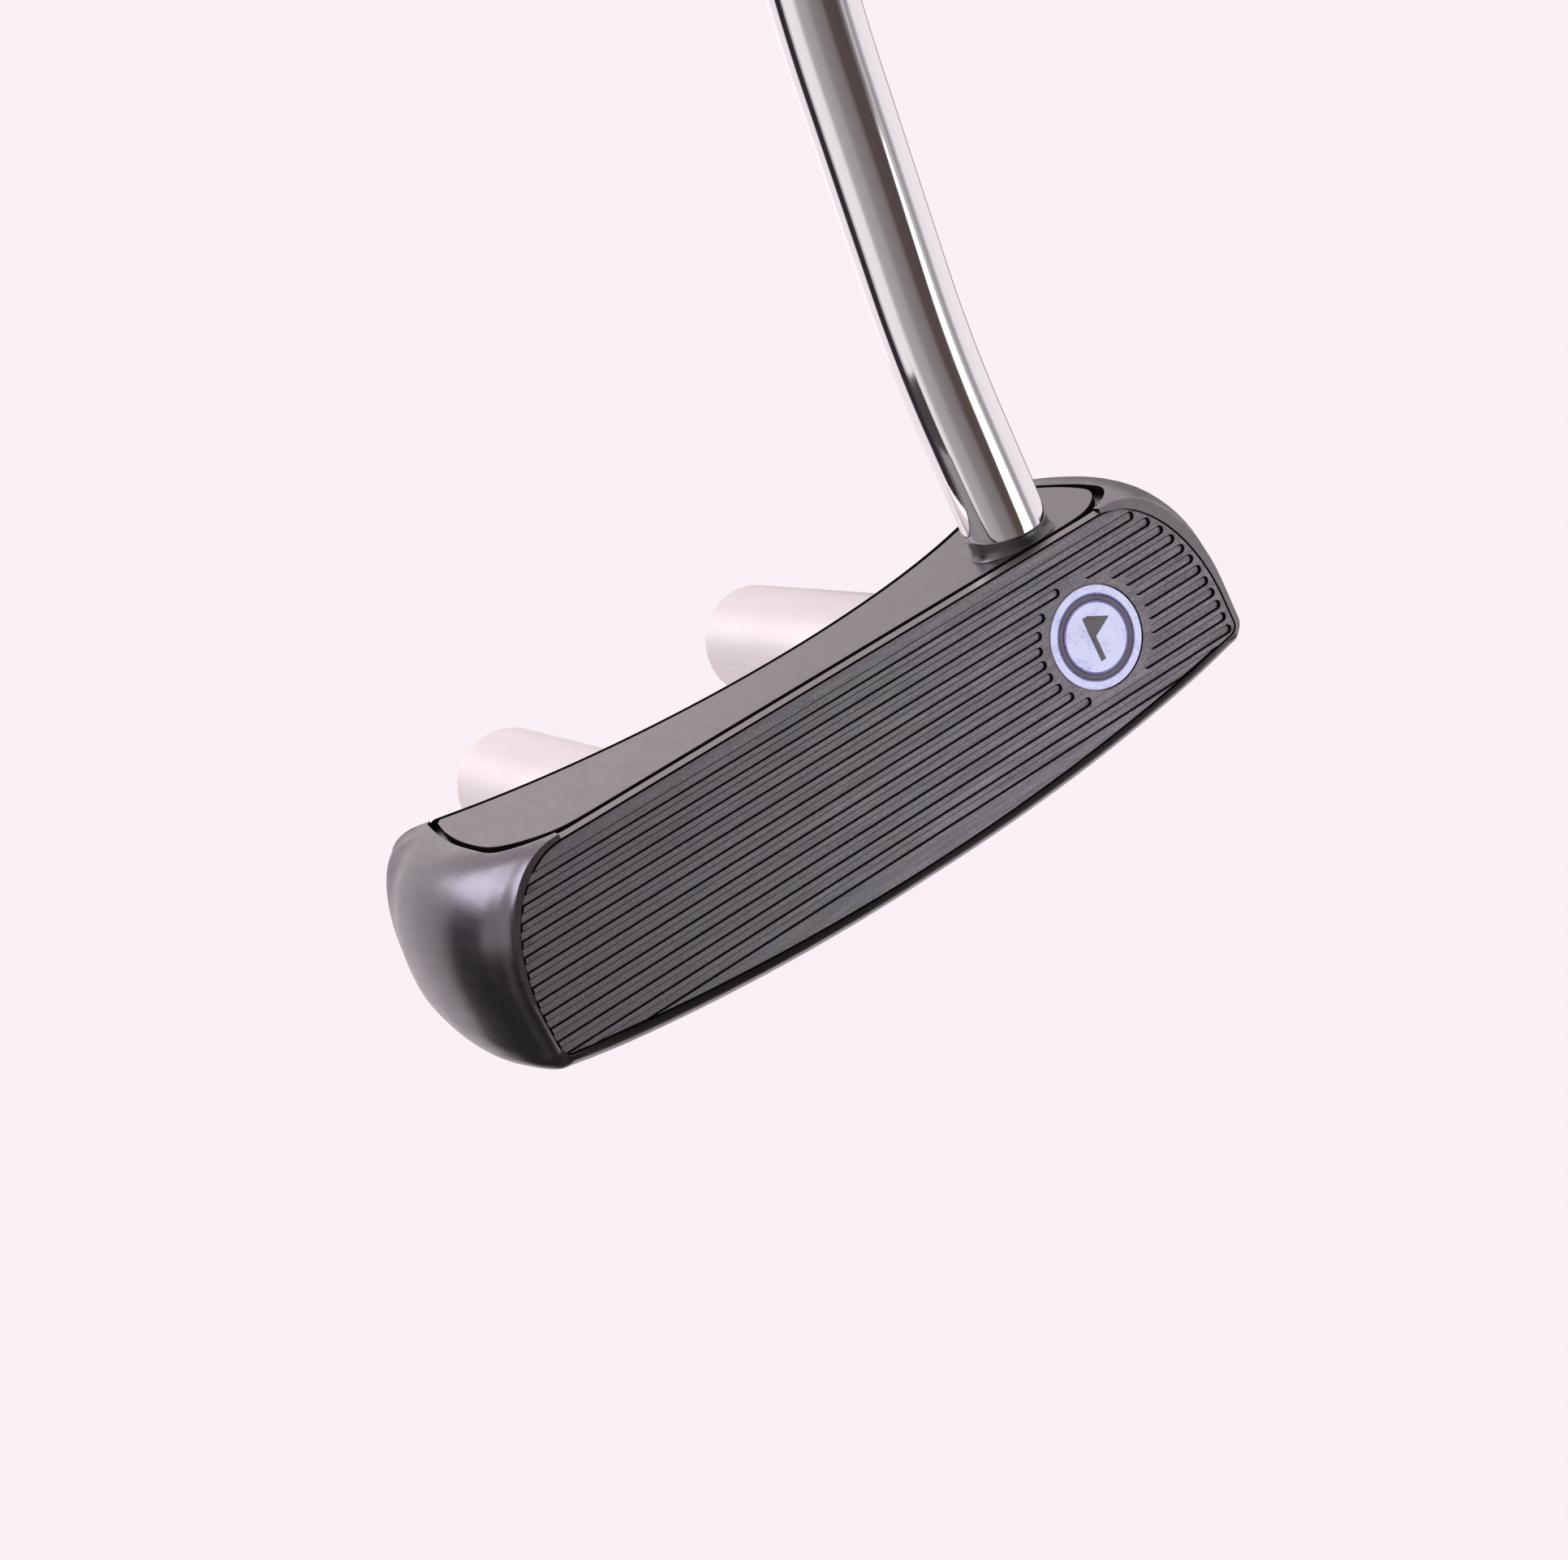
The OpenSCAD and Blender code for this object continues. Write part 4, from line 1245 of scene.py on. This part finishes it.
def add_screen():
    angles = range(SCREEN[0][0], SCREEN[-1][0] + 1)
    verts = [round_post(SCREEN_R, a, z) for a in angles for z in (SCREEN_LOW, SCREEN_HIGH)]
    faces = [(2 * i, 2 * i + 2, 2 * i + 3, 2 * i + 1) for i in range(len(angles) - 1)]
    screen = new_object("gloss_card", verts, faces)
    shades = screen.data.color_attributes.new("shade", "FLOAT_COLOR", "POINT")
    for i, a in enumerate(angles):
        for k in (0, 1):
            shades.data[2 * i + k].color = (*screen_colour(a), 1)
    mat = glow("gloss_card", (1, 1, 1))
    read = mat.node_tree.nodes.new("ShaderNodeVertexColor")
    read.layer_name = "shade"
    emit = mat.node_tree.nodes["Emission"]
    mat.node_tree.links.new(read.outputs["Color"], emit.inputs["Color"])
    stage_card(screen, mat)


def add_flat_card(name, at, width, height, colour):
    at = Vector(at)
    side = Vector((-at.y, at.x, 0)).normalized() * width / 2
    up = at.cross(side).normalized() * height / 2
    corners = [at - side - up, at + side - up, at + side + up, at - side + up]
    stage_card(new_object(name, corners, [(0, 1, 2, 3)]), glow(name, colour))


def add_cards():
    """Cards round the club that give its metal soft bands of light and shade."""
    add_screen()
    verts = [round_post(STRIP_R, a, z) for z, ends in STRIP for a in ends]
    strip = new_object("gloss_strip", verts, [(0, 1, 3, 2), (2, 3, 5, 4), (4, 5, 7, 6)])
    stage_card(strip, glow("gloss_strip", (1.0, 1.0, 1.0), 1.5))
    under = prism("gloss_under", UNDER_PLAN, UNDER_LOW, UNDER_HIGH)
    stage_card(under, glow("gloss_under", (0.05, 0.045, 0.04)))
    for name, card in FLAT_CARDS.items():
        add_flat_card(name, *card)


def add_studio():
    world = bpy.data.worlds.new("studio")
    scene.world = world
    world.use_nodes = True
    world.node_tree.nodes["Background"].inputs["Color"].default_value = (*ROOM, 1)
    corners = [(x * FLOOR_HALF, y * FLOOR_HALF, FLOOR_Z)
               for x, y in ((-1, -1), (1, -1), (1, 1), (-1, 1))]
    floor = new_object("floor", corners, [(0, 1, 2, 3)])
    matt = Finish("floor", (1.0, 1.0, 1.0), 0.0, 0.9, Specular_IOR_Level=0.0)
    floor.data.materials.append(matt.mat)


add_camera()
add_studio()
add_cards()
scene.view_settings.view_transform = "Standard"
